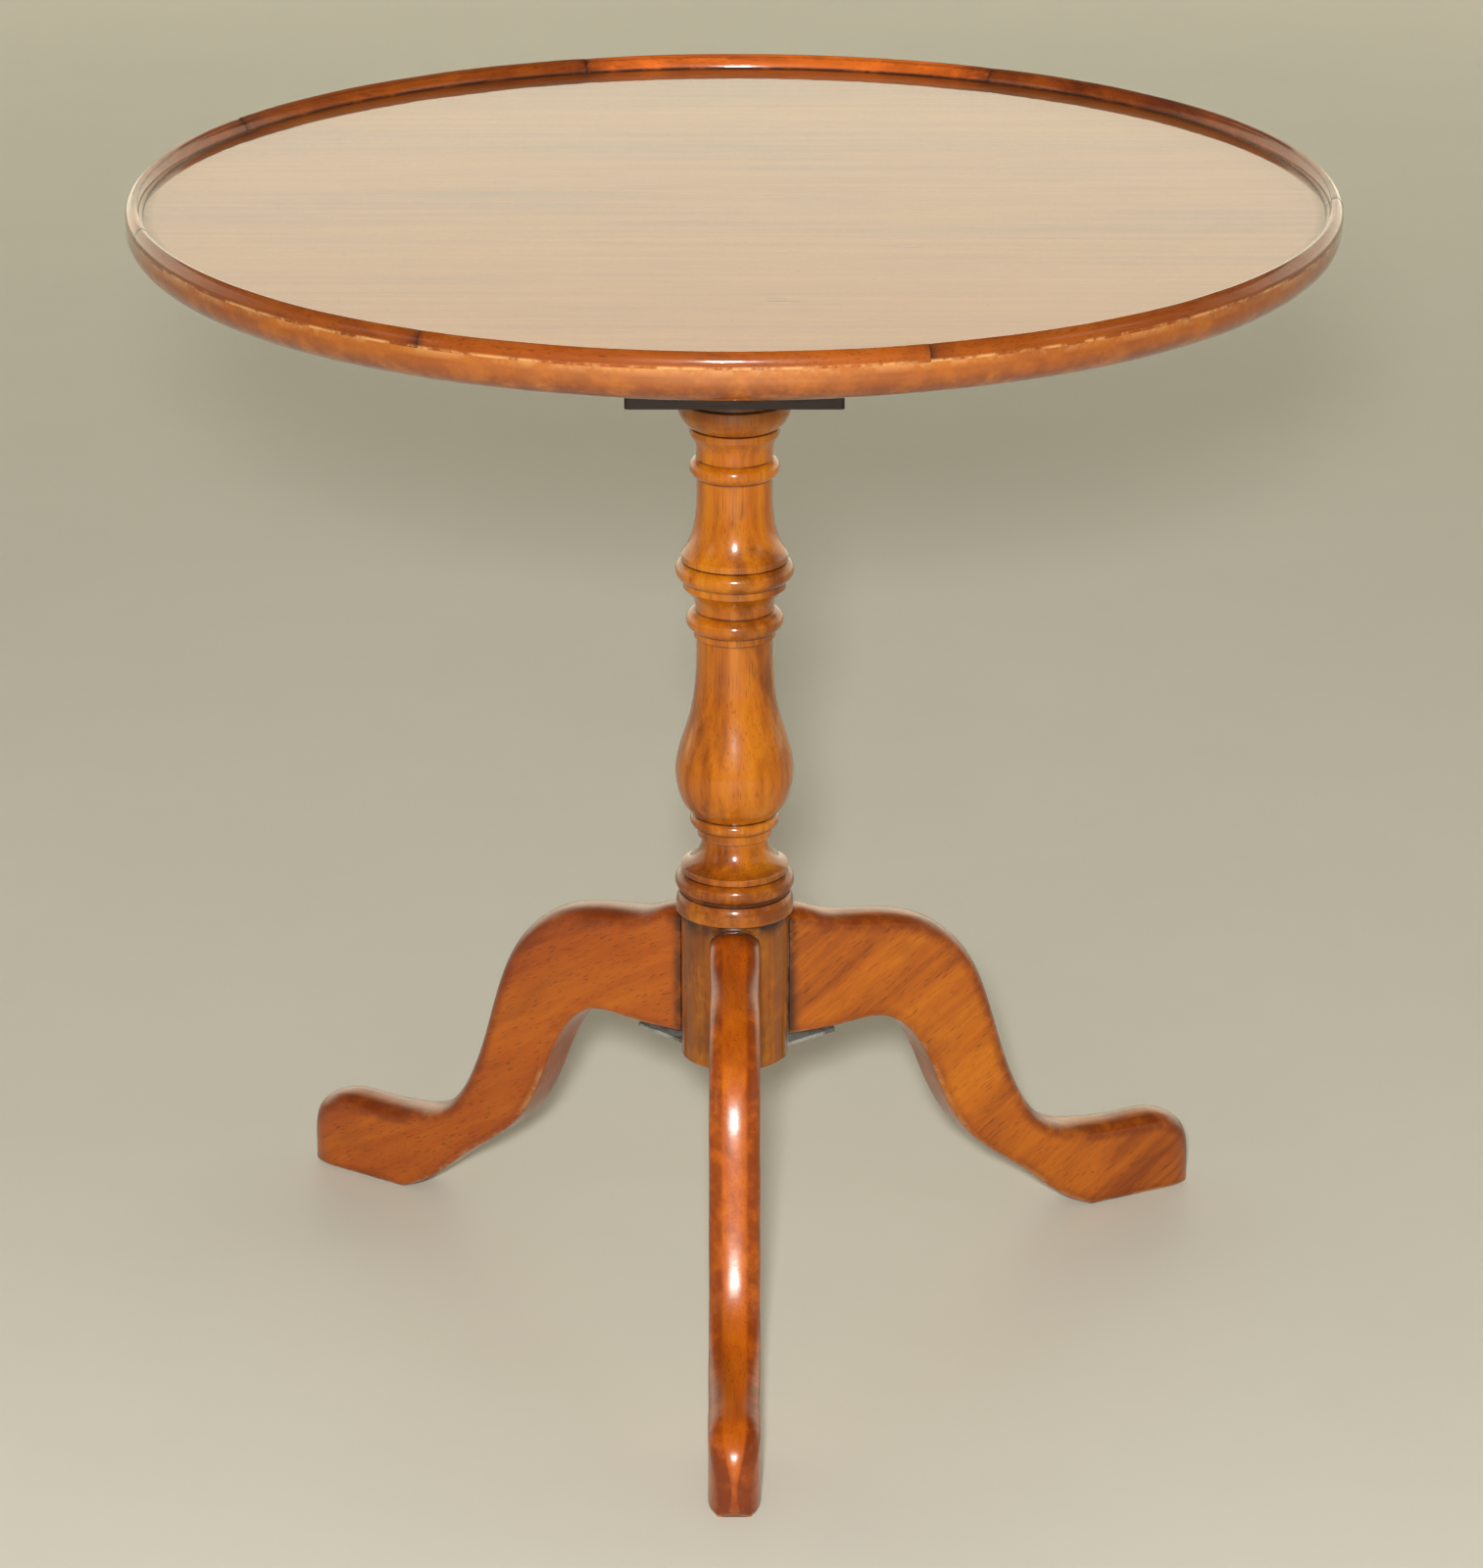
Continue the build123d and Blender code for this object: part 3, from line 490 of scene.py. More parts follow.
@dataclass(frozen=True)
class PolishedWood:
    """Old wood under French polish: figure, growth lines, pores, mottled stain, grime, painted shade and
    worn edges.

    The grain runs along X once the point has been turned.
    """

    name: str
    pale: Colour
    middle: Colour
    deep: Colour
    worn: Colour = (0.62, 0.33, 0.12)
    # The dark colour of pores, marks and grime, and of painted shade.
    grime: Colour = (0.018, 0.006, 0.003)
    turn: tuple[float, float, float] = (0, 0, 0)
    shift: tuple[float, float, float] = (0, 0, 0)
    figure: float = 9.0
    lines: float = 120.0
    mottle: float = 20.0
    mottling: float = 0.5
    pore_depth: float = 0.45
    specks: float = 0.0
    scratches: float = 0.0
    roughness: float = 0.4
    sheen_under: float = 0.12
    coat: float = 1.0
    coat_ior: float = 1.38
    coat_roughness: float = 0.07
    ripple: float = 0.05

    def grain(self, s: Shader, at: Socket) -> tuple[Socket, Socket, Socket]:
        """The wood's own figure: broad bands, growth lines, blotches and pores, drawn out along the grain.

        Args:
            s: The material.
            at: The point, with X along the grain.

        Returns:
            The colour, the growth lines and the open pores.
        """
        broad = s.noise(s.stretch(at, (0.14, 1, 1)), self.figure, 3, 0.55, 0.8)
        lines = s.noise(s.stretch(at, (0.035, 1, 1)), self.lines, 3, 0.6, 0.3)
        pores = s.noise(s.stretch(at, (0.03, 1, 1)), 1300, 1, 0.5)
        blotch = s.noise(s.stretch(at, (0.55, 1, 1)), self.mottle, 4, 0.6, 0.4)
        tone = s.weigh((broad, 0.5), (lines, 0.28), (blotch, 0.24))
        colour = s.colours(tone, [(0.36, self.deep), (0.5, self.middle), (0.64, self.pale)])
        stain = s.times(s.ramp(blotch, 0.52, 0.74), self.mottling)
        colour = s.mix(stain, colour, self.deep)
        open_pores = s.times(s.ramp(pores, 0.60, 0.72), self.pore_depth)
        return s.mix(open_pores, colour, self.grime), lines, open_pores

    def blemishes(self, s: Shader, at: Socket, colour: Socket) -> Socket:
        """Small dark holes and fine cuts, each in scattered patches.

        Args:
            s: The material.
            at: The point, with X along the grain.
            colour: The colour so far.

        Returns:
            The colour with the marks.
        """
        if self.specks:
            cells = s.add("TexVoronoi", {"Vector": at, "Scale": 75.0, "Randomness": 1.0}, out="Distance")
            holes = s.math("SUBTRACT", 1.0, s.ramp(cells, 0.05, 0.09))
            rare = s.ramp(s.noise(at, 16, 2), 0.56, 0.62)
            holes = s.times(holes, s.times(rare, self.specks))
            colour = s.mix(holes, colour, self.grime)
        if self.scratches:
            bent = s.place((0, 0, 8))
            cuts = s.ramp(s.noise(s.stretch(bent, (0.06, 1, 1)), 420, 1), 0.70, 0.74)
            rare = s.ramp(s.noise(bent, 14, 2), 0.57, 0.63)
            cuts = s.times(cuts, s.times(rare, self.scratches))
            colour = s.mix(cuts, colour, self.grime)
        return colour

    def ageing(self, s: Shader, colour: Socket, uneven: Socket, fine: Socket) -> tuple[Socket, Socket]:
        """Painted shade with some darker tone, grime with some painted shade, and rubbed edges, where the
        piece's marks put them, with ragged borders.

        Args:
            s: The material.
            colour: The colour so far.
            uneven: Noise that breaks up the borders.
            fine: Finer noise.

        Returns:
            The colour, and how dirty each point is, painted shade included.
        """
        # Painted shade, with some darker tone, where the piece's marks put it.
        shade = s.times(s.mark("shade"), s.ramp(uneven, 0.25, 0.62))
        # Grime in hollows and joints, and painted shade under the column's collar.
        dirt_and_shade = s.times(s.mark("grime"), s.ramp(uneven, 0.18, 0.55))
        rubbed = s.ramp(s.weigh((uneven, 1), (fine, 0.35)), 0.58, 0.8)
        colour = s.mix(dirt_and_shade, s.mix(shade, colour, self.deep), self.grime)
        return s.mix(s.times(s.mark("wear"), rubbed), colour, self.worn), dirt_and_shade

    def build(self) -> Material:
        """Makes the material.

        Returns:
            The material.
        """
        s = Shader(self.name)
        at = s.place(self.turn, self.shift)
        colour, lines, open_pores = self.grain(s, at)
        colour = self.blemishes(s, at, colour)
        uneven, fine = s.noise(at, 55, 4, 0.65), s.noise(at, 320, 3, 0.6)
        colour, dirt_and_shade = self.ageing(s, colour, uneven, fine)
        return s.finish(
            Base_Color=colour,
            Roughness=s.math("ADD", s.weigh((dirt_and_shade, 0.35), (fine, 0.12)), self.roughness - 0.06),
            Normal=s.bump(s.weigh((lines, 0.5), (open_pores, 1)), 0.12, 0.0006),
            Coat_Weight=self.coat,
            Coat_IOR=self.coat_ior,
            Coat_Roughness=self.coat_roughness,
            Specular_IOR_Level=self.sheen_under,
            Coat_Normal=s.bump(s.noise(at, 70, 3, 0.55), self.ripple, 0.004),
        )


@dataclass(frozen=True)
class PlainWood:
    """Sawn and planed wood that was never polished: the blocks, cleats and dowels under the top."""

    name: str
    pale: Colour
    deep: Colour
    turn: tuple[float, float, float] = (0, 0, 0)
    roughness: float = 0.6
    coat: float = 0.0

    def build(self) -> Material:
        """Makes the material.

        Returns:
            The material.
        """
        s = Shader(self.name)
        at = s.place(self.turn)
        broad = s.noise(s.stretch(at, (0.1, 1, 1)), 22, 3, 0.55, 0.7)
        lines = s.noise(s.stretch(at, (0.03, 1, 1)), 240, 3, 0.6, 0.2)
        pores = s.ramp(s.noise(s.stretch(at, (0.03, 1, 1)), 1300, 1), 0.58, 0.7)
        marks = s.noise(at, 38, 5, 0.65)
        dark, darkest = (tuple(c * share for c in self.deep) for share in (0.5, 0.3))
        colour = s.colours(s.weigh((broad, 0.55), (lines, 0.45)), [(0.35, self.deep), (0.65, self.pale)])
        colour = s.mix(s.times(pores, 0.5), colour, darkest)
        colour = s.mix(s.times(s.ramp(marks, 0.5, 0.75), 0.5), colour, dark)
        height = s.math("SUBTRACT", s.times(lines, 0.6), s.times(pores, 0.3))
        return s.finish(
            Base_Color=colour,
            Roughness=s.math("ADD", s.times(marks, 0.2), self.roughness - 0.1),
            Normal=s.bump(height, 0.25, 0.0008),
            Coat_Weight=self.coat,
        )


class Metal(Enum):
    """The metals of the fittings: base colour, tarnish, roughness and how much of it shines."""

    IRON = ((0.36, 0.37, 0.36), (0.10, 0.085, 0.07), 0.5, 0.6)
    STEEL = ((0.34, 0.33, 0.31), (0.10, 0.06, 0.035), 0.38, 1.0)
    BRASS = ((0.60, 0.40, 0.16), (0.16, 0.09, 0.03), 0.32, 1.0)
    BRIGHT = ((0.50, 0.50, 0.49), (0.20, 0.17, 0.14), 0.25, 1.0)

    def build(self) -> Material:
        """Makes the material: worn metal with tarnish in patches, fine pits and scratches.

        Returns:
            The material.
        """
        clean, tarnish, roughness, metallic = self.value
        s = Shader(f"old_{self.name.lower()}")
        at = s.place()
        patch = s.ramp(s.noise(at, 60, 5, 0.65), 0.42, 0.66)
        pits = s.ramp(s.noise(at, 700, 3, 0.6), 0.55, 0.7)
        scratch = s.noise(s.stretch(at, (1, 0.05, 1)), 900, 2)
        colour = s.mix(patch, clean, tarnish)
        colour = s.mix(s.times(pits, 0.4), colour, tuple(c * 0.5 for c in tarnish))
        rough = s.math("ADD", s.weigh((patch, 0.3), (scratch, 0.15)), roughness - 0.08)
        normal = s.bump(s.weigh((pits, 1), (scratch, 0.4)), 0.2, 0.0003)
        return s.finish(Base_Color=colour, Roughness=rough, Metallic=metallic, Normal=normal)


# ---------------- the table
def bearing_of(mount: str) -> float:
    """The bearing of a foot's mount about the column's axis.

    Args:
        mount: The mount's name.

    Returns:
        Degrees from X towards Y.
    """
    found = next(m for m in frame["record"]["mounts"] if m["name"] == mount)
    return math.degrees(math.atan2(found["pos_m"][1], found["pos_m"][0]))


@dataclass
class Top:
    """The dished board and the moulded rim that is planted on its edge in bent lengths."""

    bullnose_width: float = 20 * MM
    bullnose_height: float = 17 * MM
    rim_width: float = 10.8 * MM
    rebate_depth: float = 1 * MM
    joint_gap: float = 0.3 * MM
    joint_bearings: tuple[float, ...] = (356.0, 62.0, 106.0, 150.5, 196.0, 241.75, 287.0)
    # Each length's tone; the second length, at the back, is made far paler as a painted highlight.
    tones_with_painted_highlight: tuple[float, ...] = (0.85, 2.4, 0.9, 0.95, 0.7, 0.8, 0.7)
    swell: float = 0.25 * MM

    def __post_init__(self) -> None:
        """Takes the board's and the rim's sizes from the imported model."""
        low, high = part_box("board")
        self.edge = high.x
        self.underside = low.z
        self.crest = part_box("rim_segment_1")[1].z
        floor = next(m for m in frame["record"]["mounts"] if m["name"] == "table_top")
        self.floor = floor["pos_m"][2]

    def build_board(self) -> Piece:
        """The board: its outline turned about the column's axis, a little uneven as old wood is.

        Returns:
            The board, with its marks.
        """
        rim_foot, rebate = self.edge - self.rim_width, self.floor - self.rebate_depth
        flat = self.edge - self.bullnose_width
        side = self.underside + self.bullnose_height
        quarter = np.linspace(-math.pi / 2, 0, 30)
        nose = np.stack([np.cos(quarter), np.sin(quarter)], 1)
        nose = np.array([flat, side]) + nose * [self.bullnose_width, self.bullnose_height]
        under = trace((0.05, self.underside), [("line", (flat, self.underside))], 12 * MM)
        rest = [(self.edge, rebate), (rim_foot, rebate), (rim_foot, self.floor)]
        upper = trace(rest[-1], [("line", (0.05, self.floor))], 6 * MM)
        profile = place_cap_rings(np.vstack([under, nose[1:], rest, upper[1:]]), 4)
        turn = np.linspace(0, FULL_TURN, 256, endpoint=False)
        radius, height = profile[:, :1], profile[:, 1:]
        rings = np.stack([radius * np.cos(turn), radius * np.sin(turn), height + 0 * turn], -1)
        bulge = smoothstep(flat - 5 * MM, self.edge - 2 * MM, radius) * smoothstep(rebate, side, height)
        swell = self.swell * ripple(rings, 60 * MM, 3) * bulge
        rings *= 1 + (swell / np.maximum(radius, 1 * MM))[..., None] * [1, 1, 0]
        limit = self.edge / np.maximum(np.linalg.norm(rings[..., :2], axis=-1), self.edge)
        rings[..., :2] *= limit[..., None]
        # Painted shade under the rounded edge; the bulge only gives the whole rounded edge a darker tone.
        shade_under_edge = smoothstep(side, self.underside, height)
        shade_under_edge = shade_under_edge * smoothstep(flat - 30 * MM, flat + 8 * MM, radius)
        arris = smoothstep(1.4 * MM, 0, np.abs(height - rebate)) * (radius > rim_foot + 1 * MM)
        in_corner = smoothstep(3 * MM, 0, rim_foot - radius) * (height > rebate) * (radius <= rim_foot)
        marks = {
            "shade": np.clip(0.75 * shade_under_edge + 0.55 * bulge + 0 * turn, 0, 1),
            "wear": 0.35 * arris + 0 * turn,
            "grime": 0.55 * in_corner + 0 * turn,
        }
        return tube("board_polished", rings, marks)

    def section(self) -> np.ndarray:
        """The rim's section, measured in from the edge and down from the crest.

        Returns:
            The points of the closed outline.
        """
        steps = [
            ("arc", (1.1, 2.8), (4.0, 0)),
            ("arc", (5.6, 0.35), (7.2, 1.2)),
            ("line", (7.35, 1.7)),
            ("arc", (9.5, 4.6), (10.75, 8.6)),
            ("line", (10.8, 9.6)),
            ("line", (0.0, 9.6)),
        ]
        return trace((0, 9.6), steps, 0.5)[:-1] * MM

    def build_segment(self, number: int) -> Piece:
        """One length of the rim: its section carried round the top, unevenly cut and worn at its ends.

        Args:
            number: Which length, from 0.

        Returns:
            The length, with its marks.
        """
        first = self.joint_bearings[number]
        last = self.joint_bearings[(number + 1) % len(self.joint_bearings)]
        half_gap = math.degrees(self.joint_gap / self.edge) / 2
        sweep = (last - first) % 360 - 2 * half_gap
        share = np.linspace(0, 1, int(sweep * 1.6))
        turn = np.radians(first + half_gap + sweep * share)[:, None]
        section = self.section()
        inset, drop = section[None, :, 0], section[None, :, 1]
        radius, height = self.edge - inset, self.crest - drop
        rings = np.stack([radius * np.cos(turn), radius * np.sin(turn), height + 0 * turn], -1)
        showing = (drop < 9.4 * MM) * (1 + 0 * turn)
        crest = smoothstep(4 * MM, 0, drop)
        from_end = np.minimum(share, 1 - share)[:, None] * np.radians(sweep) * self.edge
        ends = smoothstep(7 * MM, 0, from_end)
        lower = (0.10 * (1 + ripple(rings, 60 * MM, 11 + number)) + 0.25 * ends) * MM * crest * showing
        rings[..., 2] -= np.clip(lower, 0, 1.0 * MM)
        squeeze = 0.10 * MM * (1 + ripple(rings, 50 * MM, 31 + number))
        squeeze = squeeze * smoothstep(0, 3 * MM, drop) * showing
        keep = 1 - np.clip(squeeze, 0, 1 * MM) / radius * (inset < 4 * MM)
        rings[..., :2] *= keep[..., None]
        arris = smoothstep(1.6 * MM, 0.3 * MM, np.abs(drop - 9.0 * MM)) * (inset < 5 * MM)
        quirk = 0.6 * np.exp(-(((inset - 7.3 * MM) / (0.35 * MM)) ** 2)) * (drop < 3 * MM)
        foot = smoothstep(6.4 * MM, 8.4 * MM, drop) * (inset > 8 * MM)
        end_line = smoothstep(1.0 * MM, 0.2 * MM, from_end)
        end_shade = 0.6 * smoothstep(24 * MM, 0, from_end)
        marks = {
            "wear": 0.7 * arris + 0.06 * crest * (inset < 5 * MM) + 0 * turn,
            "grime": np.clip(0.8 * quirk + foot + 0.7 * end_line, 0, 1),
            # Painted shade on the inner face past 7 mm in, and a darker tone towards the joints.
            "shade": np.clip(end_shade + 0.25 * (inset > 7 * MM), 0, 1),
        }
        out, up = self.edge - 5.5 * MM, self.crest - 5.5 * MM
        ends = (turn[0, 0], turn[-1, 0])
        poles = tuple(np.array([out * math.cos(end), out * math.sin(end), up]) for end in ends)
        return tube(f"rim_length_{number + 1}", rings, marks, poles)

    def build(self) -> None:
        """Builds and dresses the board and every length of rim."""
        board = self.build_board()
        finish = PolishedWood(
            "board_wood", pale=(0.40, 0.125, 0.012), middle=(0.32, 0.085, 0.008),
            deep=(0.17, 0.036, 0.004), figure=6.0, lines=90.0, mottle=12.0, mottling=0.35,
            pore_depth=0.15, specks=0.5, scratches=0.9, coat_ior=1.5, coat_roughness=0.03, ripple=0.012,
        ).build()
        settle(board, finish, "top", "top_wood", "board")
        # Tones differ from length to length; the back length's pale tone is a painted highlight.
        for number, tone in enumerate(self.tones_with_painted_highlight):
            segment = self.build_segment(number)
            middle_bearing = self.joint_bearings[number] + 22
            finish = PolishedWood(
                f"rim_wood_{number + 1}",
                pale=tuple(c * tone for c in (0.36, 0.082, 0.005)),
                middle=tuple(c * tone for c in (0.27, 0.055, 0.005)),
                deep=(0.09, 0.015, 0.004), turn=(0, 0, -middle_bearing - 90), shift=(0.3 * number, 0, 0),
                figure=16.0, lines=160.0, mottle=24.0, coat_roughness=0.1, ripple=0.03,
            ).build()
            settle(segment, finish, "top", "rim_wood", f"rim_segment_{number + 1}")


@dataclass
class Column:
    """The turned column, with flats on its drum for the legs. The joints inside aren't shown."""

    drum_radius: float = 34.4
    drum_top: float = 258.0
    collar_radius: float = 37.8
    collar_top: float = 270.6
    pattern_length: float = 339.4
    flat_distance: float = 30.02
    pintle_radius: float = 16.5
    turned: Steps = (
        ("line", (34.5, 2.2)),
        ("arc", (38.3, 8.4), (34.6, 14.1)),
        ("line", (33.8, 14.5)),
        ("line", (34.4, 14.9)),
        ("line", (34.4, 18.8)),
        ("curve", (30.0, 20.6), (26.0, 24.0), (23.0, 29.0), (21.5, 33.8), (21.0, 38.2)),
        ("line", (24.0, 39.0)),
        ("line", (24.3, 44.8)),
        ("arc", (28.8, 49.4), (26.6, 53.4)),
        ("line", (26.8, 53.8)),
        ("curve", (32.4, 60.4), (36.4, 70.7), (37.9, 82.2), (35.8, 96.4), (28.8, 120.4), (25.2, 143.4),
         (24.4, 172)),
        ("line", (26.0, 172.6)),
        ("line", (26.2, 177.0)),
        ("arc", (30.9, 183.4), (25.0, 189.6)),
        ("curve", (25.3, 194.2), (27.6, 199.6), (31.6, 204.2)),
        ("line", (32.6, 205.1)),
        ("line", (32.6, 209.8)),
        ("arc", (37.5, 216.4), (33.0, 222.6)),
        ("line", (33.7, 223.0)),
        ("line", (33.7, 226.7)),
        ("curve", (30.4, 232.0), (26.9, 240.4), (24.7, 252.4), (24.1, 265.2), (24.0, 277.0)),
        ("arc", (28.4, 283.4), (24.4, 289.0)),
        ("curve", (24.2, 293.2), (25.0, 298.6), (28.0, 304.4)),
        ("line", (28.5, 305.4)),
        ("line", (28.5, 308.8)),
        ("line", (27.4, 309.4)),
        ("arc", (32.4, 313.6), (35.3, 320.4)),
        ("line", (35.3, 326.2)),
        ("line", (34.0, 327.4)),
        ("line", (34.0, 339.4)),
    )

    def profile(self) -> np.ndarray:
        """The column's outline, from the drum's bottom to the pintle's top.

        Returns:
            Radius and height, in metres.
        """
        bottom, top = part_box("column")[0].z / MM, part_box("column")[1].z / MM
        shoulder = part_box("lower_plate")[0].z / MM
        pattern = trace((34.3, 0), self.turned, 0.8)
        pattern[:, 1] = self.collar_top + pattern[:, 1] * (shoulder - self.collar_top) / self.pattern_length
        lower = trace(
            (self.drum_radius - 0.6, bottom),
            [
                ("line", (self.drum_radius, bottom + 0.6)),
                ("line", (self.drum_radius, self.drum_top)),
                ("line", (self.collar_radius - 0.8, self.drum_top)),
                ("line", (self.collar_radius, self.drum_top + 0.8)),
                ("line", (self.collar_radius, self.drum_top + 5)),
                ("arc", (37.1, 267.8), (35.6, self.collar_top)),
            ],
            1.6,
        )
        pintle = trace(
            (self.pintle_radius, shoulder),
            [("line", (self.pintle_radius, top - 2)), ("line", (self.pintle_radius - 2, top))],
            3.0,
        )
        return np.vstack([lower, pattern, pintle]) * MM

    def build(self) -> None:
        """Turns the outline about the axis, pares the flats, and marks hollows and worn beads, painted
        shade in sunken parts and under the collar, and the top's painted shadow.
        """
        profile = place_cap_rings(self.profile(), 3)
        distance = along(profile) * np.linalg.norm(np.diff(profile, axis=0), axis=1).sum()
        close, near, far = (blur(profile[:, 0], distance, width * MM) for width in (1.1, 2.2, 7))
        outside = (profile[:, 1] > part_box("column")[0].z + 2 * MM) & (profile[:, 0] > 18 * MM)
        hollow = 1.8 * smoothstep(0.08 * MM, 0.45 * MM, close - profile[:, 0])
        hollow += 1.0 * smoothstep(0.3 * MM, 1.5 * MM, near - profile[:, 0])
        proud = smoothstep(0.25 * MM, 1.3 * MM, profile[:, 0] - near)
        turn = np.linspace(0, FULL_TURN, 168, endpoint=False)
        radius, height = profile[:, :1] + 0 * turn, profile[:, 1:] + 0 * turn
        rings = np.stack([radius * np.cos(turn), radius * np.sin(turn), height], -1)
        worn = 0.12 * MM * (ripple(rings, 48 * MM, 5) - 1) * outside[:, None]
        radius = radius + worn
        drum = height < self.drum_top * MM - 0.2 * MM
        nearest = np.full_like(radius, 1.0)
        for foot in ("foot_front", "foot_right", "foot_left"):
            lean = np.cos(turn - math.radians(bearing_of(foot)))
            flat = self.flat_distance * MM / np.maximum(lean, 0.3)
            nearest = np.minimum(nearest, np.where(lean > 0.3, flat, 1.0))
        radius = np.where(drum, np.minimum(radius, nearest), radius)
        rings = np.stack([radius * np.cos(turn), radius * np.sin(turn), height], -1)
        # Painted shade on the drum under the collar's overhang, carried in the grime mark.
        shade_under_collar = smoothstep(14 * MM, 0, self.drum_top * MM - height) * drum
        on_flat = drum & (nearest < 1)
        collar_top, plate = self.collar_top * MM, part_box("lower_plate")[0].z
        # Darker towards the bottom, less so on the drum.
        base = 0.85 * smoothstep(collar_top + 34 * MM, collar_top + 8 * MM, height)
        # Painted shadow of the top on the column's upper part.
        painted_top_shadow = 0.9 * smoothstep(plate - 16 * MM, plate - 10 * MM, height)
        # Painted shade in the slimmer, sunken parts of the turning.
        sunken_shade = 0.55 * smoothstep(1 * MM, 5 * MM, far - profile[:, 0])[:, None]
        dirty = 1.3 * hollow[:, None] * outside[:, None]
        marks = {
            "grime": np.clip(dirty + 0.8 * shade_under_collar + 0.25 * on_flat, 0, 1),
            "wear": 0.5 * proud[:, None] * outside[:, None] + 0 * turn,
            "shade": np.clip(sunken_shade + painted_top_shadow + base * np.where(drum, 0.45, 1.0), 0, 1),
        }
        column = tube("column_turned", rings, marks, sharp_angle=28)
        finish = PolishedWood(
            "column_wood", pale=(0.53, 0.190, 0.005), middle=(0.37, 0.100, 0.003),
            deep=(0.12, 0.022, 0.002), turn=(0, 90, 0), figure=12.0, lines=150.0, mottle=24.0,
            mottling=0.85, specks=0.8, coat_roughness=0.14,
        ).build()
        settle(column, finish, "base", "column_wood", "column")


@dataclass
class Leg:
    """A sawn cabriole leg with a pad foot, its upper edges rounded over and its sides left flat."""

    side: str
    tone: float = 1.0
    pale: Colour = (0.49, 0.126, 0.004)
    middle: Colour = (0.355, 0.072, 0.003)
    thickness: float = 32.0
    crown_side: float = 14.5
    crown_depth: float = 8.0
    low_rounding: float = 3.5
    toe_rounding: float = 25.0
    toe_power: float = 2.3
    shoulder: float = 31.52
    hand_work: float = 0.14 * MM
    top_curve: tuple = (
        (31.5, 253.5), (46, 252.5), (64, 246), (100, 239), (138, 228), (168, 199), (186, 156),
        (205, 101), (229, 68), (262, 57), (298, 55.5), (321, 53.5), (336, 44), (342.2, 30), (343, 16),
        (341.4, 6), (338, 0),
    )
    under_curve: tuple = (
        (31.5, 169), (72, 168.5), (104, 167.5), (127, 148), (145, 110), (167, 72), (207, 39), (246, 8),
        (262, 0),
    )
    sole_end: tuple[float, float] = (338.0, 0.0)
    pairing: tuple = (
        (0, 0), (0.104, 0.125), (0.187, 0.28), (0.267, 0.39), (0.377, 0.49), (0.49, 0.60), (0.625, 0.675),
        (0.755, 0.75), (0.80, 0.79), (0.90, 0.868), (0.966, 0.925), (1.0, 0.985),
    )

    def stations(self, count: int) -> tuple[np.ndarray, np.ndarray]:
        """Pairs of points on the upper and lower outline, square to the leg, from shoulder to toe.

        Args:
            count: How many pairs.

        Returns:
            The upper and the lower points, as distance out and height.
        """
        top = trace(self.top_curve[0], [("curve", *self.top_curve[1:])], 1.0)
        steps = [("curve", *self.under_curve[1:]), ("line", self.sole_end)]
        under = trace(self.under_curve[0], steps, 1.0)
        share = np.linspace(0, 1, count)
        low_at, top_at = np.array(self.pairing).T
        top_share = np.interp(share, low_at, top_at)
        smooth_share = blur(top_share, share, 0.02)
        smooth_share = smooth_share + (top_share - smooth_share) * np.abs(2 * share - 1) ** 8
        pick = [np.interp(smooth_share, along(top), top[:, k]) for k in (0, 1)]
        drop = [np.interp(share, along(under), under[:, k]) for k in (0, 1)]
        return np.stack(pick, 1), np.stack(drop, 1)

    def build(self) -> None:
        """Carries a rounded section from the shoulder to the toe, and marks edges, root and foot, with
        painted shade on the crown's sides and under the lower edge.
        """
        top, low = self.stations(230)
        top[:, 0], low[:, 0] = np.maximum(top[:, 0], self.shoulder), np.maximum(low[:, 0], self.shoulder)
        side, rise, way_x, way_y = RoundedSection(arc_points=10, side_points=22, flat_points=5).loop()
        depth = np.linalg.norm(top - low, axis=1)[:, None]
        up = (top - low) / depth
        half = self.thickness / 2
        top_round = np.minimum(self.crown_depth, 0.55 * depth)
        low_round = np.minimum(self.low_rounding, 0.3 * depth)
        sideways = low_round * (1 - rise) + self.crown_side * rise
        upwards = low_round * (1 - rise) + top_round * rise
        across = side * (half - sideways) + sideways * way_x
        lift = low_round * (1 - rise) + (depth - top_round) * rise + upwards * way_y
        out, height = (low[:, None, k] + up[:, None, k] * lift for k in (0, 1))
        tip = self.top_curve[-3][0]
        past = np.clip((out - tip + self.toe_rounding) / self.toe_rounding, 0, 1)
        across = across * (1 - past**self.toe_power) ** (1 / self.toe_power)
        bearing = math.radians(bearing_of(f"foot_{self.side}"))
        local = np.stack([out, across, height], -1) * MM
        seed = {"front": 41, "right": 43, "left": 47}[self.side]
        from_root = local[..., 0] - self.shoulder * MM
        hand = self.hand_work * (ripple(local, 55 * MM, seed) - 1) * smoothstep(0, 12 * MM, from_root)
        ground = smoothstep(1 * MM, 6 * MM, local[..., 2])
        local[..., 1] += np.sign(across) * hand * np.abs(way_x) * ground
        local[..., 2] += hand * way_y * ground * (rise > 0.5)
        c, s = math.cos(bearing), math.sin(bearing)
        rings = local @ np.array([[c, s, 0], [-s, c, 0], [0, 0, 1]])
        from_top = (depth - lift) * MM
        flat_side = np.abs(way_x) > 0.999
        border = smoothstep((self.crown_depth + 5) * MM, self.crown_depth * MM, from_top) * flat_side
        # Painted shade under the lower edge.
        shade_under_edge = smoothstep(9 * MM, 1 * MM, lift * MM) * (1 + 0 * from_top)
        toe = smoothstep(0.235, 0.335, local[..., 0])
        arris = np.exp(-(((np.abs(way_x) - 0.6) / 0.35) ** 2)) * (rise < 0.5)
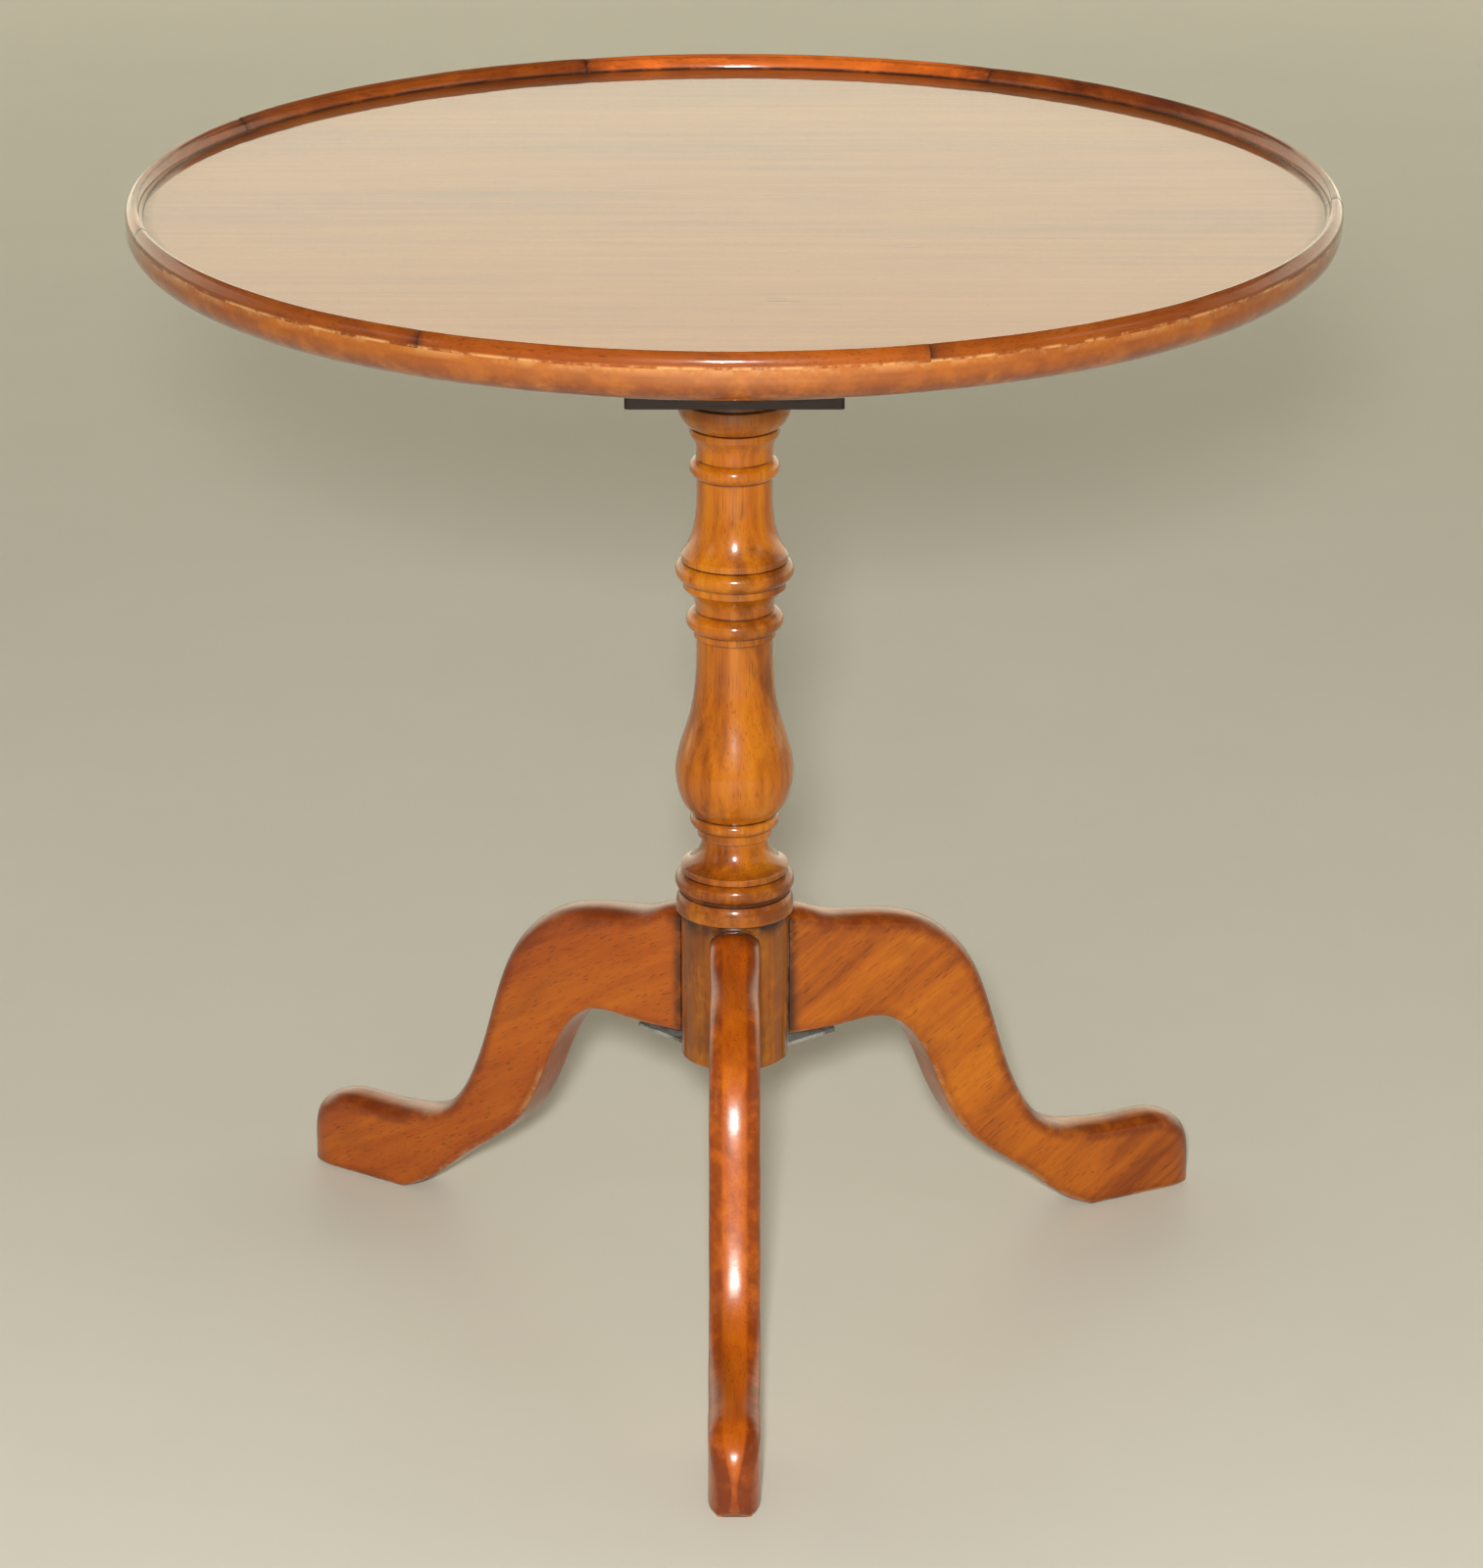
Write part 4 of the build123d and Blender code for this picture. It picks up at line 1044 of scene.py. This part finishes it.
        # Painted shade on the rounded crown's sides.
        painted_crown_shade = 0.8 * ((np.abs(way_x) > 0.35) & ~flat_side & (rise > 0.5))
        root = 0.9 * smoothstep(9 * MM, 0, from_root)
        sole = 0.5 * smoothstep(4 * MM, 0, local[..., 2])
        marks = {
            "shade": np.clip(painted_crown_shade + 0.7 * border + 0.6 * shade_under_edge + 0.15 * toe, 0, 1),
            "grime": np.clip(root + sole, 0, 1),
            "wear": np.clip(0.4 * arris + 0.5 * arris * toe, 0, 1) * (lift < self.low_rounding),
        }
        leg = tube(f"leg_{self.side}_carved", rings, marks, sharp_angle=40)
        finish = PolishedWood(
            f"leg_{self.side}_wood", pale=tuple(c * self.tone for c in self.pale),
            middle=tuple(c * self.tone for c in self.middle), deep=(0.14, 0.022, 0.002),
            turn=(0, 38, -math.degrees(bearing)), figure=11.0, lines=110.0, mottle=16.0, mottling=0.5,
            pore_depth=0.5, specks=0.3, coat_roughness=0.25, ripple=0.05,
        ).build()
        settle(leg, finish, "base", "leg_wood", f"leg_{self.side}")


def settle(piece: Piece, finish: Material, body: str, slot: str, *nodes: str) -> None:
    """Dresses a piece, makes it ride on its body and stand for its CAD nodes, and reports it.

    Args:
        piece: The piece.
        finish: Its material.
        body: The body that it rides on.
        slot: The record's material slot for the piece. It is not used.
        *nodes: The nodes that it stands for.
    """
    piece.data.materials.append(finish)
    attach(piece, body)
    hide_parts(*nodes)
    log.info("%s: %d faces, on %s", piece.name, len(piece.data.polygons), body)


@dataclass(frozen=True)
class Spring:
    """The catch's coil spring, which shortens as the bolt is drawn; here it is wound at its full length."""

    wire_radius: float = 0.5 * MM
    turns: int = 7
    stroke: float = 9.5 * MM

    def build(self, finish: Material) -> None:
        """Winds round wire about a line along Y, along the length of its case.

        Args:
            finish: The wire's material.
        """
        low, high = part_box("catch_spring")
        middle = (low + high) / 2
        radius, length = (high.x - low.x) / 2 - self.wire_radius, high.y - low.y
        share = np.linspace(0, 1, self.turns * 28)[:, None]
        turn = FULL_TURN * self.turns * share
        wire = np.linspace(0, FULL_TURN, 12, endpoint=False)
        out = radius + self.wire_radius * np.cos(wire)
        forward = low.y + self.wire_radius + (length - 2 * self.wire_radius) * share
        forward = forward + self.wire_radius * np.sin(wire)
        rings = np.stack([middle.x + out * np.sin(turn), forward, middle.z + out * np.cos(turn)], -1)
        coil = tube("spring_coil", rings)
        settle(coil, finish, "top", "bolt_steel", "catch_spring")
        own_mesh(coil)


@dataclass
class Fittings:
    """The birdcage, bearers, catch, brackets and screws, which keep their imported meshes."""

    def build(self) -> None:
        """Gives each node its finish."""
        # Dark wood for the block and balusters; the colour also holds painted shade from the top's shadow.
        dark = (0.045, 0.013, 0.006), (0.015, 0.005, 0.003)
        block = PlainWood("block_wood", *dark, roughness=0.5, coat=0.1).build()
        cleat = PlainWood("cleat_wood", (0.30, 0.135, 0.05), (0.15, 0.055, 0.018), turn=(0, 0, 90)).build()
        pale = PlainWood("dowel_wood", (0.42, 0.24, 0.10), (0.24, 0.12, 0.045)).build()
        iron, steel, brass, bright = (metal.build() for metal in Metal)
        sides = ("front", "right", "left")
        finishes = {
            block: ["lower_plate", "upper_plate", *[f"baluster_{n}" for n in range(1, 5)]],
            cleat: ["bearer_left", "bearer_right", "cage_collar"],
            pale: ["pivot_pins", "wedge"],
            iron: [f"bracket_{side}" for side in sides],
            steel: ["bearer_screws", "bracket_screws"],
            brass: ["catch_case", "strike_plate", "catch_knob", "catch_screws", "strike_screws"],
            bright: ["catch_bolt"],
        }
        for material, nodes in finishes.items():
            for node in nodes:
                mesh = frame["nodes"][node].data
                mesh.materials.clear()
                mesh.materials.append(material)
            log.info("%s on %s", material.name, ", ".join(nodes))
        Spring().build(bright)


@dataclass(frozen=True)
class Studio:
    """A plain pale floor, a pale round wall far behind it, soft lights, and the camera."""

    floor_radius: float = 7.0
    wall_height: float = 4.0
    wall_sides: int = 96
    wall_glow: float = 1.22
    eye_height: float = 1.530
    eye_distance: float = 3.1745
    eye_side: float = 0.0043
    look_down: float = 20.51
    lens: float = 122.36

    def floor_finish(self) -> Material:
        """Pale, slightly clouded concrete.

        Returns:
            The material.
        """
        s = Shader("pale_floor")
        clouds = s.noise(s.place(), 1.6, 5, 0.65)
        tint = s.mix(clouds, (0.66, 0.65, 0.58), (0.57, 0.565, 0.505))
        return s.finish(Base_Color=tint, Roughness=0.55)

    def wall_finish(self) -> Material:
        """Cream that glows behind the table, to show in its polish, and is dim in front of it.

        Returns:
            The material.
        """
        s = Shader("cream_wall")
        y = s.add("SeparateXYZ", {0: s.place()}, out=1)
        given = {"Value": y, "From Min": 0.0, "From Max": 4.0, "To Min": 0.03, "To Max": self.wall_glow}
        glow = s.add("MapRange", given, interpolation_type="SMOOTHSTEP")
        cream = (0.92, 0.865, 0.69)
        return s.finish(Base_Color=cream, Roughness=0.9, Emission_Color=cream, Emission_Strength=glow)

    def build(self) -> None:
        """Makes the floor, wall, lights and camera."""
        count = self.wall_sides
        turn = np.linspace(0, FULL_TURN, count, endpoint=False)
        ring = np.stack([np.cos(turn), np.sin(turn), 0 * turn], -1) * self.floor_radius
        floor = make_object("floor", ring, [tuple(range(count))])
        floor.data.materials.append(self.floor_finish())
        up = np.array([0, 0, self.wall_height])
        walls = np.vstack([ring, ring + up])
        sides = [(b, a, a + count, b + count) for a, b in ((k, (k + 1) % count) for k in range(count))]
        wall = make_object("wall", walls, sides)
        wall.data.materials.append(self.wall_finish())
        self.light("key", (-0.06, -3.3, 1.76), 0.22, 160.0, (1.0, 0.97, 0.91))
        self.light("overhead", (0.0, -0.6, 3.4), 2.0, 8.0, (1.0, 0.98, 0.95))
        self.light("left", (-3.2, -1.6, 1.9), 1.2, 4.0, (1.0, 0.97, 0.93))
        self.light("right", (3.2, -1.4, 1.9), 1.2, 4.0, (1.0, 0.97, 0.93))
        world = bpy.data.worlds.new("studio_air")
        world.use_nodes = True
        background = world.node_tree.nodes["Background"]
        background.inputs["Color"].default_value = (0.96, 0.92, 0.86, 1)
        background.inputs["Strength"].default_value = 0.06
        bpy.context.scene.world = world
        bpy.context.scene.view_settings.view_transform = "Standard"
        data = bpy.data.cameras.new("camera")
        data.lens, data.sensor_width, data.sensor_fit = self.lens, 36.0, "AUTO"
        camera = bpy.data.objects.new("camera", data)
        camera.location = (self.eye_side, -self.eye_distance, self.eye_height)
        camera.rotation_euler = Euler((math.radians(90 - self.look_down), 0, 0))
        bpy.context.scene.collection.objects.link(camera)
        bpy.context.scene.camera = camera

    def light(self, name: str, place: Sequence[float], size: float, power: float, colour: Colour) -> None:
        """A square soft light aimed at the middle of the table.

        Args:
            name: The light's name. The overhead one doesn't show in reflections.
            place: Where it stands.
            size: The length of its side.
            power: Its power in watts.
            colour: Its colour.
        """
        data = bpy.data.lights.new(name, "AREA")
        data.size, data.energy, data.color = size, power, colour
        lamp = bpy.data.objects.new(name, data)
        lamp.location = place
        lamp.visible_glossy = name != "overhead"
        aim = np.array([0, 0, 0.4]) - np.array(place)
        tilt = math.atan2(math.hypot(aim[0], aim[1]), -aim[2])
        lamp.rotation_euler = Euler((tilt, 0, math.atan2(aim[1], aim[0]) - math.pi / 2))
        bpy.context.scene.collection.objects.link(lamp)


def main() -> None:
    """Builds the table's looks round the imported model, then its studio."""
    logging.basicConfig(level=logging.INFO, format="%(name)s: %(message)s")
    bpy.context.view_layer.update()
    Top().build()
    Column().build()
    Leg("front", 1.12).build()
    Leg("right", 1.05, pale=(0.49, 0.150, 0.004), middle=(0.355, 0.088, 0.003)).build()
    Leg("left", 0.86).build()
    Fittings().build()
    Studio().build()


if __name__ == "__main__":
    main()
